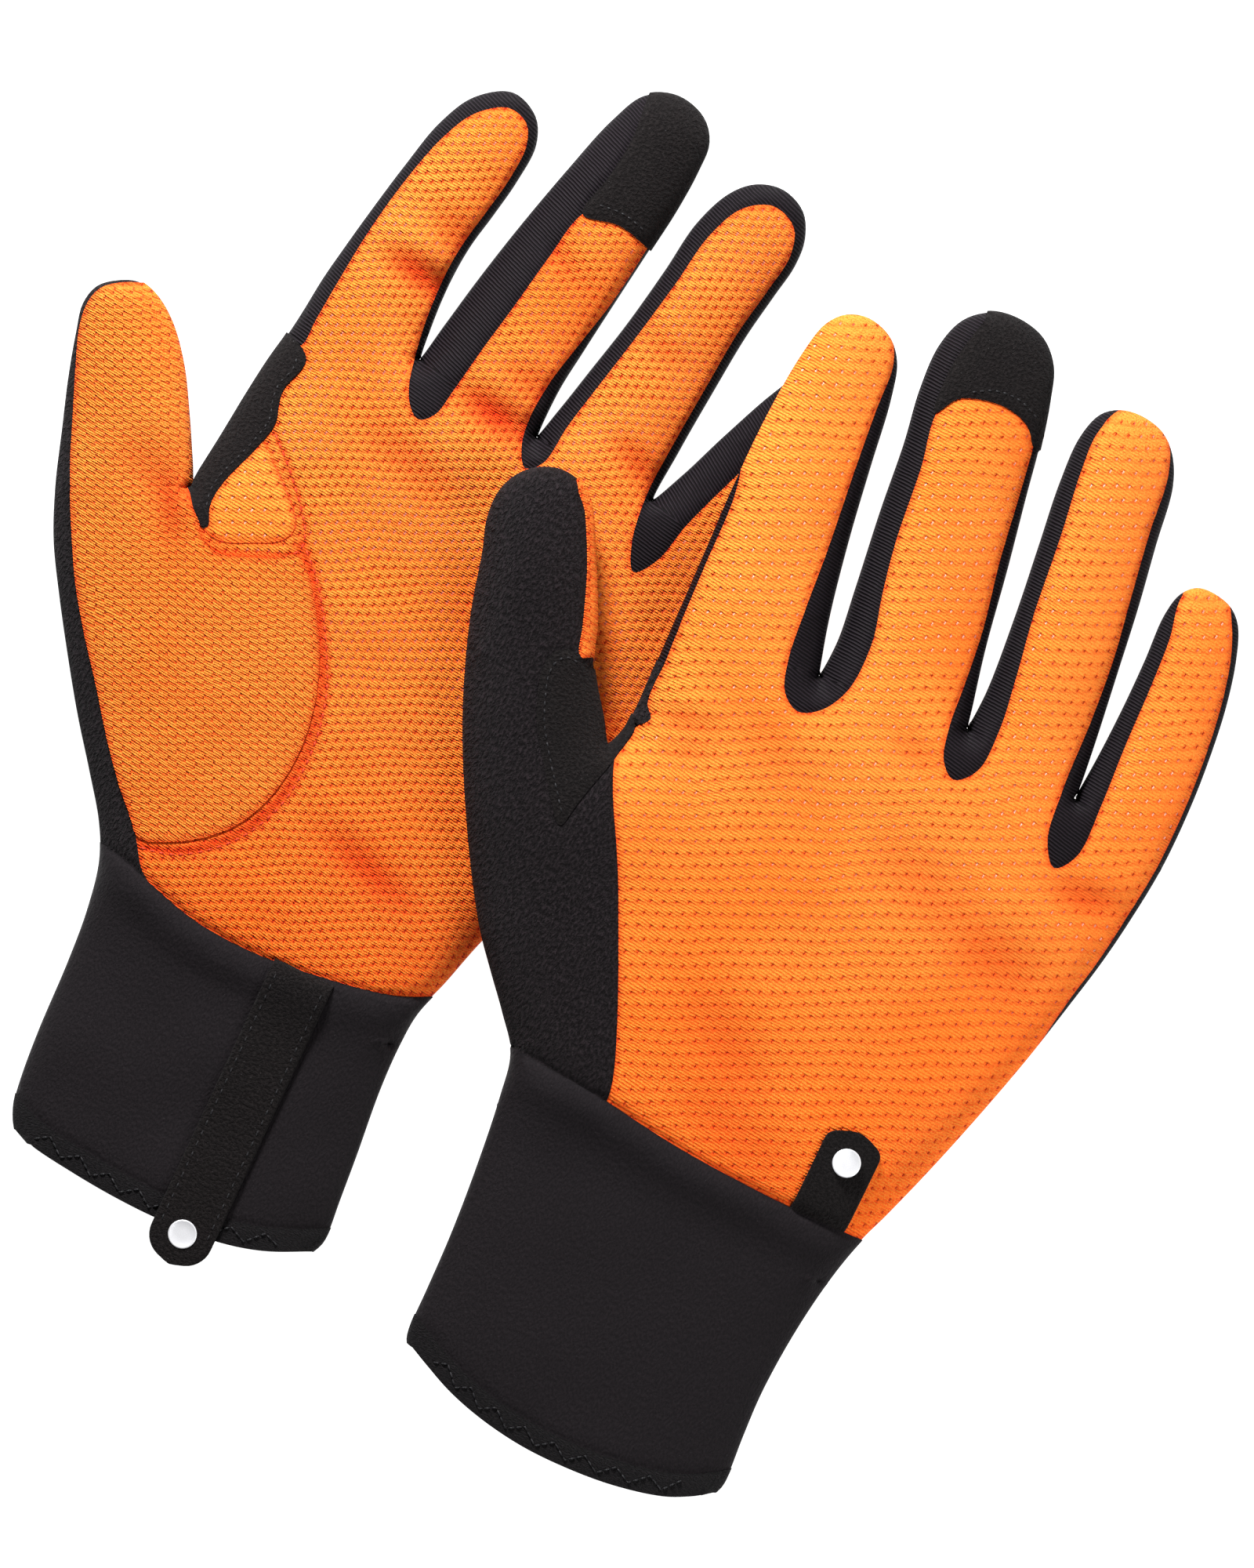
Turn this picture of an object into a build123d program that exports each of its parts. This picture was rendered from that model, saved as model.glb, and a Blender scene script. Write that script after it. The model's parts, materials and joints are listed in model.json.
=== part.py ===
from build123d import *
from dataclasses import dataclass
from math import cos, radians, sin, tan
import os

# A pair of thin sports gloves lying on a table, millimetres.
# +Z is up, +Y runs from the cuffs to the fingertips, the thumbs point to -X.
# The left glove lies flat, palm up. The right glove lies palm down with its thumb side
# resting over the left glove's little-finger side, so it leans on its outer edge.
# Each glove is drawn in the plan of its own bench plane: flat for the left, leaning for the right.

# ---------------------------------------------------------------- driving dimensions
WALL = 1.2              # fabric and lining together
PATCH = 0.6             # sewn-on patches and panels
BADGE = 0.3             # reflective badge
LEAN = 6.3              # degrees the right glove leans by
LEAN_EDGE = 124.0       # X of the line that it leans about
DIGIT_ROUND = 5.0       # rounding of a digit's long edges
ROUND_SHARE = 0.42      # the most of a digit's thickness that one rounding takes
DIGIT_FACE = 1.6        # depth of the knit face panels of a finger
THUMB_FACE = 4.5        # depth of the knit face panel of a thumb
HAND_ROUND = 2.5        # rounding of the hand's free edges
HAND_FACE = 3.0         # depth of the back and palm panels
HINGE_GAP = 0.4         # room between a digit's base and the hand
PASSAGE = 8.0           # how far the way into a digit or the cuff runs into the hand
PASSAGE_STEP = 0.7      # how far that way stands in from the hollows that it joins
CUFF_ROUND = 5.0        # rounding of the cuff's sides
HEM = 5.0               # width of the binding at the cuff's hem
HEM_STEP = 0.4          # how far the binding stands proud of the cuff
STRAP_WIDTH = 13.0
STRAP_THICK = 1.2
TAB_WIDTH = 12.4
TAB_LENGTH = 18.0
TAB_THICK = 0.9
BADGE_RADIUS = 3.5
LOOSE_GAP = 0.3         # room under a strap or tab that lifts
REACH = 400.0           # longer than anything here


@dataclass
class Digit:
    """A digit in plan: hinge centre, heading clockwise from +Y in degrees, length and widths."""
    base: tuple
    heading: float
    length: float
    base_width: float
    tip_width: float
    low: float
    high: float


@dataclass
class Glove:
    """One glove in plan. The hand's outline runs clockwise from the thumb end of the cuff seam."""
    side: str
    palm_up: bool
    digits: dict
    thumb_side: list        # cuff seam to thumb
    web_side: list          # between thumb and index finger
    little_side: list       # little finger to cuff seam
    seam_middle: tuple
    hem: list               # thumb end, middle, little-finger end
    hand_low: float
    hand_high: float
    ridge_x: float          # beyond this X the hand thins towards the little finger
    thinning: float         # degrees
    cuff_low: float
    cuff_high: float
    cap_length: float
    thenar: list            # seam of the ball of the thumb: start, points of its round, end
    tongue: list
    strap_x: float
    strap_start: float
    strap_end: float
    tab_x: float
    tab_start: float


LEFT = Glove(
    side="left",
    palm_up=True,
    digits={
        "thumb": Digit((-97.3, 11.3), -23.9, 41.2, 25.0, 19.0, 0.0, 15.0),
        "index": Digit((-67.8, 57.5), 7.9, 58.4, 23.2, 18.6, 0.0, 13.0),
        "middle": Digit((-42.4, 60.0), 9.2, 69.2, 24.6, 20.0, 0.0, 13.0),
        "ring": Digit((-14.3, 58.0), 8.5, 63.1, 23.4, 18.8, 0.0, 12.0),
        "pinky": Digit((7.5, 50.0), 22.0, 45.0, 18.6, 15.0, 0.0, 9.0),
    },
    thumb_side=[(-69.5, -57.5), (-80, -42), (-95, -22), (-106, -4)],
    web_side=[(-84.6, 30), (-82, 46)],
    little_side=[(19.5, 22), (17, 5), (10, -20), (3.6, -41), (-2, -58)],
    seam_middle=(-36, -62),
    hem=[(-66, -112.5), (-33, -117.7), (1, -109.8)],
    hand_low=1.2,
    hand_high=16.0,
    ridge_x=-37.0,
    thinning=LEAN,
    cuff_low=0.0,
    cuff_high=13.0,
    cap_length=28.0,
    thenar=[(-79.5, 13), (-61, 13.5), (-42, -20), (-67, -51), (-78, -38), (-91, -21), (-100, -5)],
    tongue=[(-78, 33), (-66, 24), (-61.5, 14.5), (-79, 14)],
    strap_x=-25.0,
    strap_start=-63.5,
    strap_end=-124.3,
    tab_x=-10.5,
    tab_start=-58.0,
)

RIGHT = Glove(
    side="right",
    palm_up=False,
    digits={
        "thumb": Digit((-13.2, 15.5), -12.0, 37.0, 22.6, 17.5, 0.0, 14.0),
        "index": Digit((27.4, 38.0), -4.9, 66.1, 26.0, 19.6, 0.0, 13.0),
        "middle": Digit((58.8, 40.5), -7.1, 77.0, 27.0, 23.0, 0.0, 13.0),
        "ring": Digit((87.7, 38.5), -7.2, 71.4, 23.6, 19.6, 0.0, 13.0),
        "pinky": Digit((110.9, 33.0), -4.5, 50.8, 19.0, 15.0, 0.0, 11.0),
    },
    thumb_side=[(19, -57.5), (8, -44), (-8, -26), (-18.6, -4)],
    web_side=[(4, 12), (12.6, 7), (13.3, 24)],
    little_side=[(118.6, 12), (113, -15), (105, -42), (98, -62)],
    seam_middle=(60, -62.5),
    hem=[(24.3, -118.5), (58, -128.3), (94, -119.8)],
    hand_low=0.0,
    hand_high=15.5,
    ridge_x=60.0,
    thinning=3.5,
    cuff_low=1.5,
    cuff_high=14.5,
    cap_length=19.0,
    thenar=[(1, 8), (15, 2), (30, -22), (18, -50), (8, -38), (-6, -22), (-15, -5)],
    tongue=[(3, 9.5), (12, 8.2), (19, 5), (15.5, 2.6), (2, 8.2)],
    strap_x=70.0,
    strap_start=-65.0,
    strap_end=-124.5,
    tab_x=88.6,
    tab_start=-61.2,
)


# ---------------------------------------------------------------- planes
def bench(glove, height=0.0):
    """The plane that a glove's plan is drawn in, raised by height."""
    if glove.palm_up:
        return Plane.XY.offset(height)
    lean = radians(LEAN)
    hinge_line = (0, 0, LEAN_EDGE * tan(lean))
    return Plane(hinge_line, x_dir=(cos(lean), 0, -sin(lean)), z_dir=(sin(lean), 0, cos(lean))).offset(height)


def digit_plane(glove, digit, height):
    """A digit's own plan: its base centre at the origin and its tip along +Y."""
    floor = bench(glove, height)
    turn = radians(digit.heading)
    across = floor.x_dir * cos(turn) - floor.y_dir * sin(turn)
    return Plane(floor.from_local_coords(Vector(*digit.base, 0)), x_dir=across, z_dir=floor.z_dir)


def base_ends(digit):
    """The two ends of the hand's edge that a digit hinges on, thumb side first."""
    turn = radians(digit.heading)
    half = digit.base_width / 2
    middle = Vector(*digit.base) - Vector(sin(turn), cos(turn)) * HINGE_GAP
    across = Vector(cos(turn), -sin(turn)) * half
    return [tuple(middle - across)[:2], tuple(middle + across)[:2]]


# ---------------------------------------------------------------- shared shapes
def digit_solid(glove, digit, skin, start):
    """A tapered round-ended bar, inset by skin all round, from start along the digit to its tip."""
    plane = digit_plane(glove, digit, digit.low + skin)
    tip_radius = digit.tip_width / 2 - skin
    half = digit.base_width / 2 - skin
    with BuildPart() as solid:
        with BuildSketch(plane):
            with BuildLine():
                Line((-half, start), (half, start))
                CenterArc((0, digit.length - tip_radius - skin), tip_radius, 0, 360)
            make_hull()
        extrude(amount=digit.high - digit.low - 2 * skin)
        upright = Axis(plane.origin, plane.z_dir)
        across = Axis(plane.origin, plane.x_dir)
        rim = edges().filter_by(upright, reverse=True).filter_by(across, reverse=True)
        fillet(rim, min(DIGIT_ROUND, ROUND_SHARE * (digit.high - digit.low)) - skin)
    return solid.part


def digit_shell(glove, digit):
    """The hollow skin of a digit, open at its base."""
    with BuildPart() as shell:
        add(digit_solid(glove, digit, 0, 0))
        add(digit_solid(glove, digit, WALL, -1), mode=Mode.SUBTRACT)
    return shell.part


def digit_passage(glove, digit):
    """The straight-sided way from the hand's hollow into a digit's."""
    inset = WALL + PASSAGE_STEP
    low = max(digit.low, glove.hand_low) + inset
    with BuildPart() as passage:
        with BuildSketch(digit_plane(glove, digit, low)):
            Rectangle(digit.base_width - 2 * inset, 2 * PASSAGE)
        extrude(amount=digit.high - inset - low)
    return passage.part


def wrist_passage(glove):
    """The straight-sided way from the hand's hollow into the cuff's."""
    inset = WALL + PASSAGE_STEP
    low = max(glove.cuff_low, glove.hand_low) + inset
    start, end = Vector(*glove.thumb_side[0]), Vector(*glove.little_side[-1])
    middle = (start + end) / 2
    with BuildPart() as passage:
        with BuildSketch(bench(glove, low)):
            with Locations(middle):
                Rectangle((end - start).X - 4 * inset, 2 * PASSAGE)
        extrude(amount=glove.cuff_high - inset - low)
    return passage.part


def hand_core(glove, inset):
    """Everything below the hand's top surface, lowered by inset: flat, then thinning past the ridge."""
    top = bench(glove, glove.hand_high - inset)
    slope = radians(glove.thinning)
    ridge = top.from_local_coords(Vector(glove.ridge_x, 0, 0))
    normal = top.z_dir * cos(slope) + top.x_dir * sin(slope)
    with BuildPart() as core:
        with BuildSketch(top):
            Rectangle(REACH, REACH)
        extrude(amount=-REACH / 4)
        split(bisect_by=Plane(ridge, z_dir=normal), keep=Keep.BOTTOM)
    return core.part


def hand_outline(glove):
    """The hand's outline points, clockwise from the thumb end of the cuff seam."""
    points = list(glove.thumb_side) + base_ends(glove.digits["thumb"]) + list(glove.web_side)
    for name in ("index", "middle", "ring", "pinky"):
        points += base_ends(glove.digits[name])
    return points + list(glove.little_side)


def hand_solid(glove, skin):
    """The closed outer or inner form of the hand."""
    points = hand_outline(glove)
    with BuildPart() as solid:
        with BuildSketch(bench(glove, glove.hand_low + skin)):
            with BuildLine():
                Polyline(*points)
                ThreePointArc(points[-1], glove.seam_middle, points[0])
            make_face()
            if skin:
                offset(amount=-skin, kind=Kind.INTERSECTION, mode=Mode.REPLACE)
        extrude(amount=REACH / 8)
        add(hand_core(glove, skin), mode=Mode.INTERSECT)
        if not skin:
            fillet(free_edges(glove, solid.edges()), HAND_ROUND)
    return solid.part


def free_edges(glove, found):
    """The lower and upper edges along the thumb side, the web and the little-finger side."""
    floor = bench(glove)
    thumb_ends = base_ends(glove.digits["thumb"])
    index_ends = base_ends(glove.digits["index"])
    pinky_ends = base_ends(glove.digits["pinky"])
    sides = [
        list(glove.thumb_side) + thumb_ends[:1],
        thumb_ends[1:] + list(glove.web_side) + index_ends[:1],
        pinky_ends[1:] + list(glove.little_side),
    ]
    middles = [(Vector(*a) + Vector(*b)) / 2 for side in sides for a, b in zip(side, side[1:])]

    def on_side(edge):
        if abs(edge.tangent_at(0.5).dot(floor.z_dir)) > 0.5:
            return False
        spot = floor.to_local_coords(edge.center())
        return any((Vector(spot.X, spot.Y) - middle).length < 0.5 for middle in middles)

    return found.filter_by(on_side)


def cuff_solid(glove, skin, overrun):
    """The outer or inner form of the cuff: a flattened tube, overrun past both ends."""
    seam = [glove.thumb_side[0], glove.seam_middle, glove.little_side[-1]]
    shift = Vector(0, overrun)
    side_skin = Vector(skin, 0)
    inset = [side_skin, Vector(0, 0), side_skin * -1]
    top_edge = [Vector(*point) + shift + side for point, side in zip(seam, inset)]
    hem_edge = [Vector(*point) - shift + side for point, side in zip(glove.hem, inset)]
    plane = bench(glove, glove.cuff_low + skin)
    with BuildPart() as solid:
        with BuildSketch(plane):
            with BuildLine():
                ThreePointArc(*top_edge)
                Line(top_edge[2], hem_edge[2])
                ThreePointArc(*reversed(hem_edge))
                Line(hem_edge[0], top_edge[0])
            make_face()
        extrude(amount=glove.cuff_high - glove.cuff_low - 2 * skin)
        lengthwise = [e for e in edges() if e.geom_type == GeomType.LINE and e.length > 20]
        fillet(lengthwise, CUFF_ROUND - skin)
    return solid.part


def band(glove, back, front):
    """A crosswise band between two offsets from the hem, measured towards the fingers."""
    near = [Vector(*point) + Vector(0, back) for point in glove.hem]
    far = [Vector(*point) + Vector(0, front) for point in glove.hem]
    out = Vector(10, 0)
    with BuildPart() as zone:
        with BuildSketch(bench(glove, -REACH / 8)):
            with BuildLine():
                Polyline(near[0], near[0] - out, far[0] - out, far[0])
                ThreePointArc(*far)
                Polyline(far[2], far[2] + out, near[2] + out, near[2])
                ThreePointArc(*reversed(near))
            make_face()
        extrude(amount=REACH / 4)
    return zone.part


def slab(glove, outline, low, high):
    """A straight-sided block between two heights, used to cut a zone out of a shell."""
    with BuildPart() as block:
        with BuildSketch(bench(glove, low)):
            with BuildLine():
                Polyline(*outline, close=True)
            make_face()
        extrude(amount=high - low)
    return block.part


def write(piece, name):
    """Label a finished piece and write it."""
    piece.part.label = name
    export_step(piece.part, f"parts/{name}.step")
    return piece.part


# ---------------------------------------------------------------- sub-parts
def make_finger(glove, name):
    """A finger: knit back and palm faces, a stretch sidewall, and the middle one's suede cap."""
    digit = glove.digits[name]
    shell = digit_shell(glove, digit)
    lower = bench(glove, digit.low + DIGIT_FACE)
    upper = bench(glove, digit.high - DIGIT_FACE)
    tip_cut = digit_plane(glove, digit, 0)
    cap_start = digit.length - (glove.cap_length if name == "middle" else -1)
    cap_plane = Plane(tip_cut.from_local_coords(Vector(0, cap_start, 0)), z_dir=tip_cut.y_dir)
    top_name, bottom_name = ("palm", "back") if glove.palm_up else ("back", "palm")

    with BuildPart() as body:
        add(shell)
        split(bisect_by=cap_plane, keep=Keep.BOTTOM)
    with BuildPart() as top_face:
        add(body.part)
        split(bisect_by=upper, keep=Keep.TOP)
    write(top_face, f"{glove.side}_{name}_{top_name}")
    with BuildPart() as bottom_face:
        add(body.part)
        split(bisect_by=lower, keep=Keep.BOTTOM)
    write(bottom_face, f"{glove.side}_{name}_{bottom_name}")
    with BuildPart() as sidewall:
        add(body.part)
        split(bisect_by=upper, keep=Keep.BOTTOM)
        split(bisect_by=lower, keep=Keep.TOP)
    write(sidewall, f"{glove.side}_{name}_sidewall")
    if name == "middle":
        with BuildPart() as cap:
            add(shell)
            split(bisect_by=cap_plane, keep=Keep.TOP)
        write(cap, f"{glove.side}_middle_cap")


def make_thumb(glove):
    """A thumb: a knit palm face and a brushed fleece back that wraps round its sides."""
    digit = glove.digits["thumb"]
    shell = digit_shell(glove, digit)
    height = digit.high - THUMB_FACE if glove.palm_up else digit.low + THUMB_FACE
    palm_side, back_side = (Keep.TOP, Keep.BOTTOM) if glove.palm_up else (Keep.BOTTOM, Keep.TOP)
    with BuildPart() as palm:
        add(shell)
        split(bisect_by=bench(glove, height), keep=palm_side)
    write(palm, f"{glove.side}_thumb_palm")
    with BuildPart() as back:
        add(shell)
        split(bisect_by=bench(glove, height), keep=back_side)
    write(back, f"{glove.side}_thumb_back")


def make_hand(glove):
    """The hand: back and palm panels, and the side pieces sewn between them."""
    with BuildPart() as shell:
        add(hand_solid(glove, 0))
        add(hand_solid(glove, WALL), mode=Mode.SUBTRACT)
        for digit in glove.digits.values():
            add(digit_passage(glove, digit), mode=Mode.SUBTRACT)
        add(wrist_passage(glove), mode=Mode.SUBTRACT)

    face_core = hand_core(glove, HAND_FACE)
    lower = bench(glove, glove.hand_low + HAND_FACE)
    top_name, bottom_name = ("palm_panel", "back_panel")
    if not glove.palm_up:
        top_name, bottom_name = bottom_name, top_name
    with BuildPart() as top_panel:
        add(shell.part)
        add(face_core, mode=Mode.SUBTRACT)
    write(top_panel, f"{glove.side}_{top_name}")
    with BuildPart() as bottom_panel:
        add(shell.part)
        split(bisect_by=lower, keep=Keep.BOTTOM)
    write(bottom_panel, f"{glove.side}_{bottom_name}")
    with BuildPart() as sides:
        add(shell.part)
        add(face_core, mode=Mode.INTERSECT)
        split(bisect_by=lower, keep=Keep.TOP)

    thumb_ends = base_ends(glove.digits["thumb"])
    index_ends = base_ends(glove.digits["index"])
    pinky_ends = base_ends(glove.digits["pinky"])
    inward = Vector(14, 0)
    zones = {
        "gusset": side_zone(glove.thumb_side + thumb_ends[:1], inward, glove.thumb_side[0]),
        "web_patch": side_zone(thumb_ends[1:] + glove.web_side + index_ends[:1], inward, None),
        "side_strip": side_zone([pinky_ends[1]] + glove.little_side, inward * -1, glove.little_side[-1]),
    }
    for name, outline in zones.items():
        with BuildPart() as side_piece:
            add(sides.part)
            add(slab(glove, outline, -1, REACH / 8), mode=Mode.INTERSECT)
        write(side_piece, f"{glove.side}_{name}")
    with BuildPart() as crotches:
        add(sides.part)
        for outline in zones.values():
            add(slab(glove, outline, -1, REACH / 8), mode=Mode.SUBTRACT)
        add(slab(glove, crotch_zone(glove), -1, REACH / 8), mode=Mode.INTERSECT)
    write(crotches, f"{glove.side}_finger_crotches")


def side_zone(edge, inward, seam_end):
    """A zone that takes in the wall along one side: the edge moved out a little and moved inward."""
    points = [Vector(*point) for point in edge]
    outside = [point - inward * 0.4 for point in points]
    inside = [point + inward * 0.35 for point in points]
    if seam_end is not None:
        past = Vector(0, -8)
        start_at_seam = tuple(edge[0]) == tuple(seam_end)
        index = 0 if start_at_seam else -1
        outside[index] = outside[index] + past
        inside[index] = inside[index] + past
    return [tuple(point)[:2] for point in outside + list(reversed(inside))]


def crotch_zone(glove):
    """A zone that takes in the hand's edge between the fingers."""
    first = base_ends(glove.digits["index"])[0]
    last = base_ends(glove.digits["pinky"])[1]
    return [(first[0] + 5, first[1] - 12), (first[0] + 5, first[1] + 20), (last[0] - 3, first[1] + 20),
            (last[0] - 3, last[1] - 12)]


def make_cuff(glove):
    """The cuff: a stretch tube with a bound hem."""
    with BuildPart() as tube:
        add(cuff_solid(glove, 0, 0))
        add(cuff_solid(glove, WALL, 3), mode=Mode.SUBTRACT)
        add(band(glove, -3, HEM), mode=Mode.SUBTRACT)
    write(tube, f"{glove.side}_cuff")
    with BuildPart() as binding:
        add(cuff_solid(glove, 0, 0))
        add(cuff_solid(glove, WALL + HEM_STEP, 3), mode=Mode.SUBTRACT)
        add(band(glove, -3, HEM), mode=Mode.INTERSECT)
    write(binding, f"{glove.side}_hem_binding")


def make_thenar(glove):
    """The ball-of-thumb panel, sewn over the palm, and the small tongue at the thumb's crotch."""
    height = glove.hand_high if glove.palm_up else glove.hand_low
    rise = PATCH if glove.palm_up else -PATCH
    start, turn, side, end, *rest = glove.thenar
    with BuildPart() as thenar:
        with BuildSketch(bench(glove, height)):
            with BuildLine():
                Line(start, turn)
                ThreePointArc(turn, side, end)
                Polyline(end, *rest, start)
            make_face()
        extrude(amount=rise)
    write(thenar, f"{glove.side}_thenar_panel")
    with BuildPart() as tongue:
        with BuildSketch(bench(glove, height)):
            with BuildLine():
                Polyline(*glove.tongue, close=True)
            make_face()
        extrude(amount=rise)
    write(tongue, f"{glove.side}_web_tongue")


def ribbon(glove, x, start, end, width, low, thick, corner):
    """A flat strap from start to end along Y with its free end rounded."""
    with BuildPart() as strip:
        with BuildSketch(bench(glove, low)):
            with Locations((x, (start + end) / 2)):
                Rectangle(width, abs(end - start))
            free = vertices().sort_by(Axis.Y, reverse=end > start)[:2]
            fillet(free, corner)
        extrude(amount=thick)
    return strip


def disc(glove, x, y, low, thick):
    """A round badge."""
    with BuildPart() as badge:
        with BuildSketch(bench(glove, low)):
            with Locations((x, y)):
                Circle(BADGE_RADIUS)
        extrude(amount=thick)
    return badge


def make_pull_strap(glove):
    """The suede pull strap on the palm side of the cuff, with its badge near the free end."""
    if glove.palm_up:
        low = glove.cuff_high + LOOSE_GAP
        badge_low = low + STRAP_THICK
    else:
        low = glove.cuff_low - LOOSE_GAP - STRAP_THICK
        badge_low = low - BADGE
    strap = ribbon(glove, glove.strap_x, glove.strap_start, glove.strap_end, STRAP_WIDTH, low, STRAP_THICK, 5)
    write(strap, f"{glove.side}_pull_strap")
    badge = disc(glove, glove.strap_x, glove.strap_end + 6.5, badge_low, BADGE)
    write(badge, f"{glove.side}_strap_badge")


def make_back_tab(glove):
    """The short suede tab sewn into the cuff seam on the back of the hand, with its badge."""
    end = glove.tab_start + TAB_LENGTH
    if glove.palm_up:
        low = glove.hand_low - TAB_THICK
        badge_low = low - BADGE
    else:
        fall = tan(radians(glove.thinning)) * (glove.tab_x - TAB_WIDTH / 2 - glove.ridge_x)
        low = glove.hand_high - fall + LOOSE_GAP
        badge_low = low + TAB_THICK
    tab = ribbon(glove, glove.tab_x, glove.tab_start, end, TAB_WIDTH, low, TAB_THICK, 3)
    write(tab, f"{glove.side}_back_tab")
    badge = disc(glove, glove.tab_x, end - 6.5, badge_low, BADGE)
    write(badge, f"{glove.side}_tab_badge")


os.makedirs("parts", exist_ok=True)
for pair_half in (LEFT, RIGHT):
    for finger in ("index", "middle", "ring", "pinky"):
        make_finger(pair_half, finger)
    make_thumb(pair_half)
    make_hand(pair_half)
    make_cuff(pair_half)
    make_thenar(pair_half)
    make_pull_strap(pair_half)
    make_back_tab(pair_half)
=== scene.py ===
import json
from math import atan2, cos, pi, radians, sin, tan

import bpy
import numpy as np
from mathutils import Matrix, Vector, geometry
from mathutils.bvhtree import BVHTree
from mathutils.kdtree import KDTree


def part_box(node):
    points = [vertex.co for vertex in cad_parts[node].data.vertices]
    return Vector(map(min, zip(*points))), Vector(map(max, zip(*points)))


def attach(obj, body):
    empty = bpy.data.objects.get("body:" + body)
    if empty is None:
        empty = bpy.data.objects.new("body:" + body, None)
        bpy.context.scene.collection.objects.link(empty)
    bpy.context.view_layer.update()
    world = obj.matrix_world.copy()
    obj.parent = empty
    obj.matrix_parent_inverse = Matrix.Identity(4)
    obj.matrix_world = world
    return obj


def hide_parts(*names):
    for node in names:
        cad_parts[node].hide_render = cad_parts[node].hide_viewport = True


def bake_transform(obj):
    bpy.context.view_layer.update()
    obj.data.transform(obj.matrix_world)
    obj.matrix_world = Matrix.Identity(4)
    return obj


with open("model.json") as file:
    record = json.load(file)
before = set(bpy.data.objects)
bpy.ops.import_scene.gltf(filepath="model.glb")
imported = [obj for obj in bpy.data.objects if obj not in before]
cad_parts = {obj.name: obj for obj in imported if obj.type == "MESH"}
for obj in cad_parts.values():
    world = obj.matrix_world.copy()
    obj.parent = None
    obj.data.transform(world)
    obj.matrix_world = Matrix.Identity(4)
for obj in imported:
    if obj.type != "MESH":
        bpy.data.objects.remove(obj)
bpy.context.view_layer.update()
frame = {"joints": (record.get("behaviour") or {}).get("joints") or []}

# A pair of thin sports gloves: the left one palm up, the right one back up and leaning on it.
# Each glove's skin is drawn in plan in millimetres, in its own bench plane, as one closed outline.
# The outline is filled with a triangle mesh for the top face and another for the bottom face. Both are
# puffed up a little, held down along their seams, and the result is cut into its sewn pieces.

MM = 0.001
joints = {joint["name"]: joint for joint in frame["joints"]}

# ---------------------------------------------------------------- sizes, in millimetres
FABRIC = 0.9            # thickness of the fabric
MESH_STEP = 2.0         # spacing of the skin's points away from edges
OUTLINE_STEP = 1.1      # spacing of the points along outlines and seams
RINGS = (0.3, 0.8, 1.6, 2.8)    # rows of points beside the outline
SEAM_ROWS = (0.55, 1.3)         # rows of points beside a seam
CLOSEST = 0.35          # least distance between a row's point and its neighbours
PUFF_REACH = 8.0        # how far from its edge a wide panel keeps rising
PUFF = 0.9              # rise of the top face for its width
PUFF_ROUNDS = 600       # most rounds of the solver, and the squared error it may stop at
PUFF_LEFT_OVER = 1e-9
EDGE_HEIGHT = 5.4       # height of the outline above what the glove lies on
EDGE_DROP = 1.3         # how much lower the outline is at the little finger's side
GROW = 0.3              # outline moved out by this, for the cloth's own roundness
TOP_HEIGHT = 9.0        # height that the top face's seams are seen at, on average
HEM_WIDTH = 5.0
HEM_THICK = 1.6
SEAM_WIDTH = 0.8        # width of the dip along a seam
FINGER_MARGIN = 2.6     # how far a finger's knit face on the underside stays from the outline
STRAP_WIDTH = 13.0
STRAP_THICK = 1.2
TAB_THICK = 0.9
TAB_WIDTH = 12.4
BADGE_RADIUS = 2.9
BADGE_THICK = 0.3
BADGE_FROM_END = 6.5    # from the free end of the strap or the tab
PHOTO_TURN = 25         # degrees: how far the gloves' length leans from upright in the photograph
BLEND_REACH = (3.5, 20) # along a digit from its hinge: two distances whose points make_skin_pieces works out and does not use
SKY = 90                # a height above everything, to look straight down from
THREAD_SIDES = 6
SMALLEST_CUT = 0.0101


# ================================================================ plan of the two gloves
# An outline runs clockwise from the thumb side of the hem, round the digits, to the hem again.
# Each digit's stretch starts and ends at the points where it leaves the hand.
# The thumb-side edge that the left glove's orange knit and its ball-of-thumb panel share.
BALL_EDGE = [
    (-70.2, -46.6), (-75, -41.6), (-80.8, -34.6), (-87, -26.2), (-92, -19.8), (-95.8, -14.6),
    (-99.4, -9.2), (-103.2, -2.4), (-106.8, 4.4), (-110.2, 11.9), (-113.7, 20.6),
]

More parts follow.
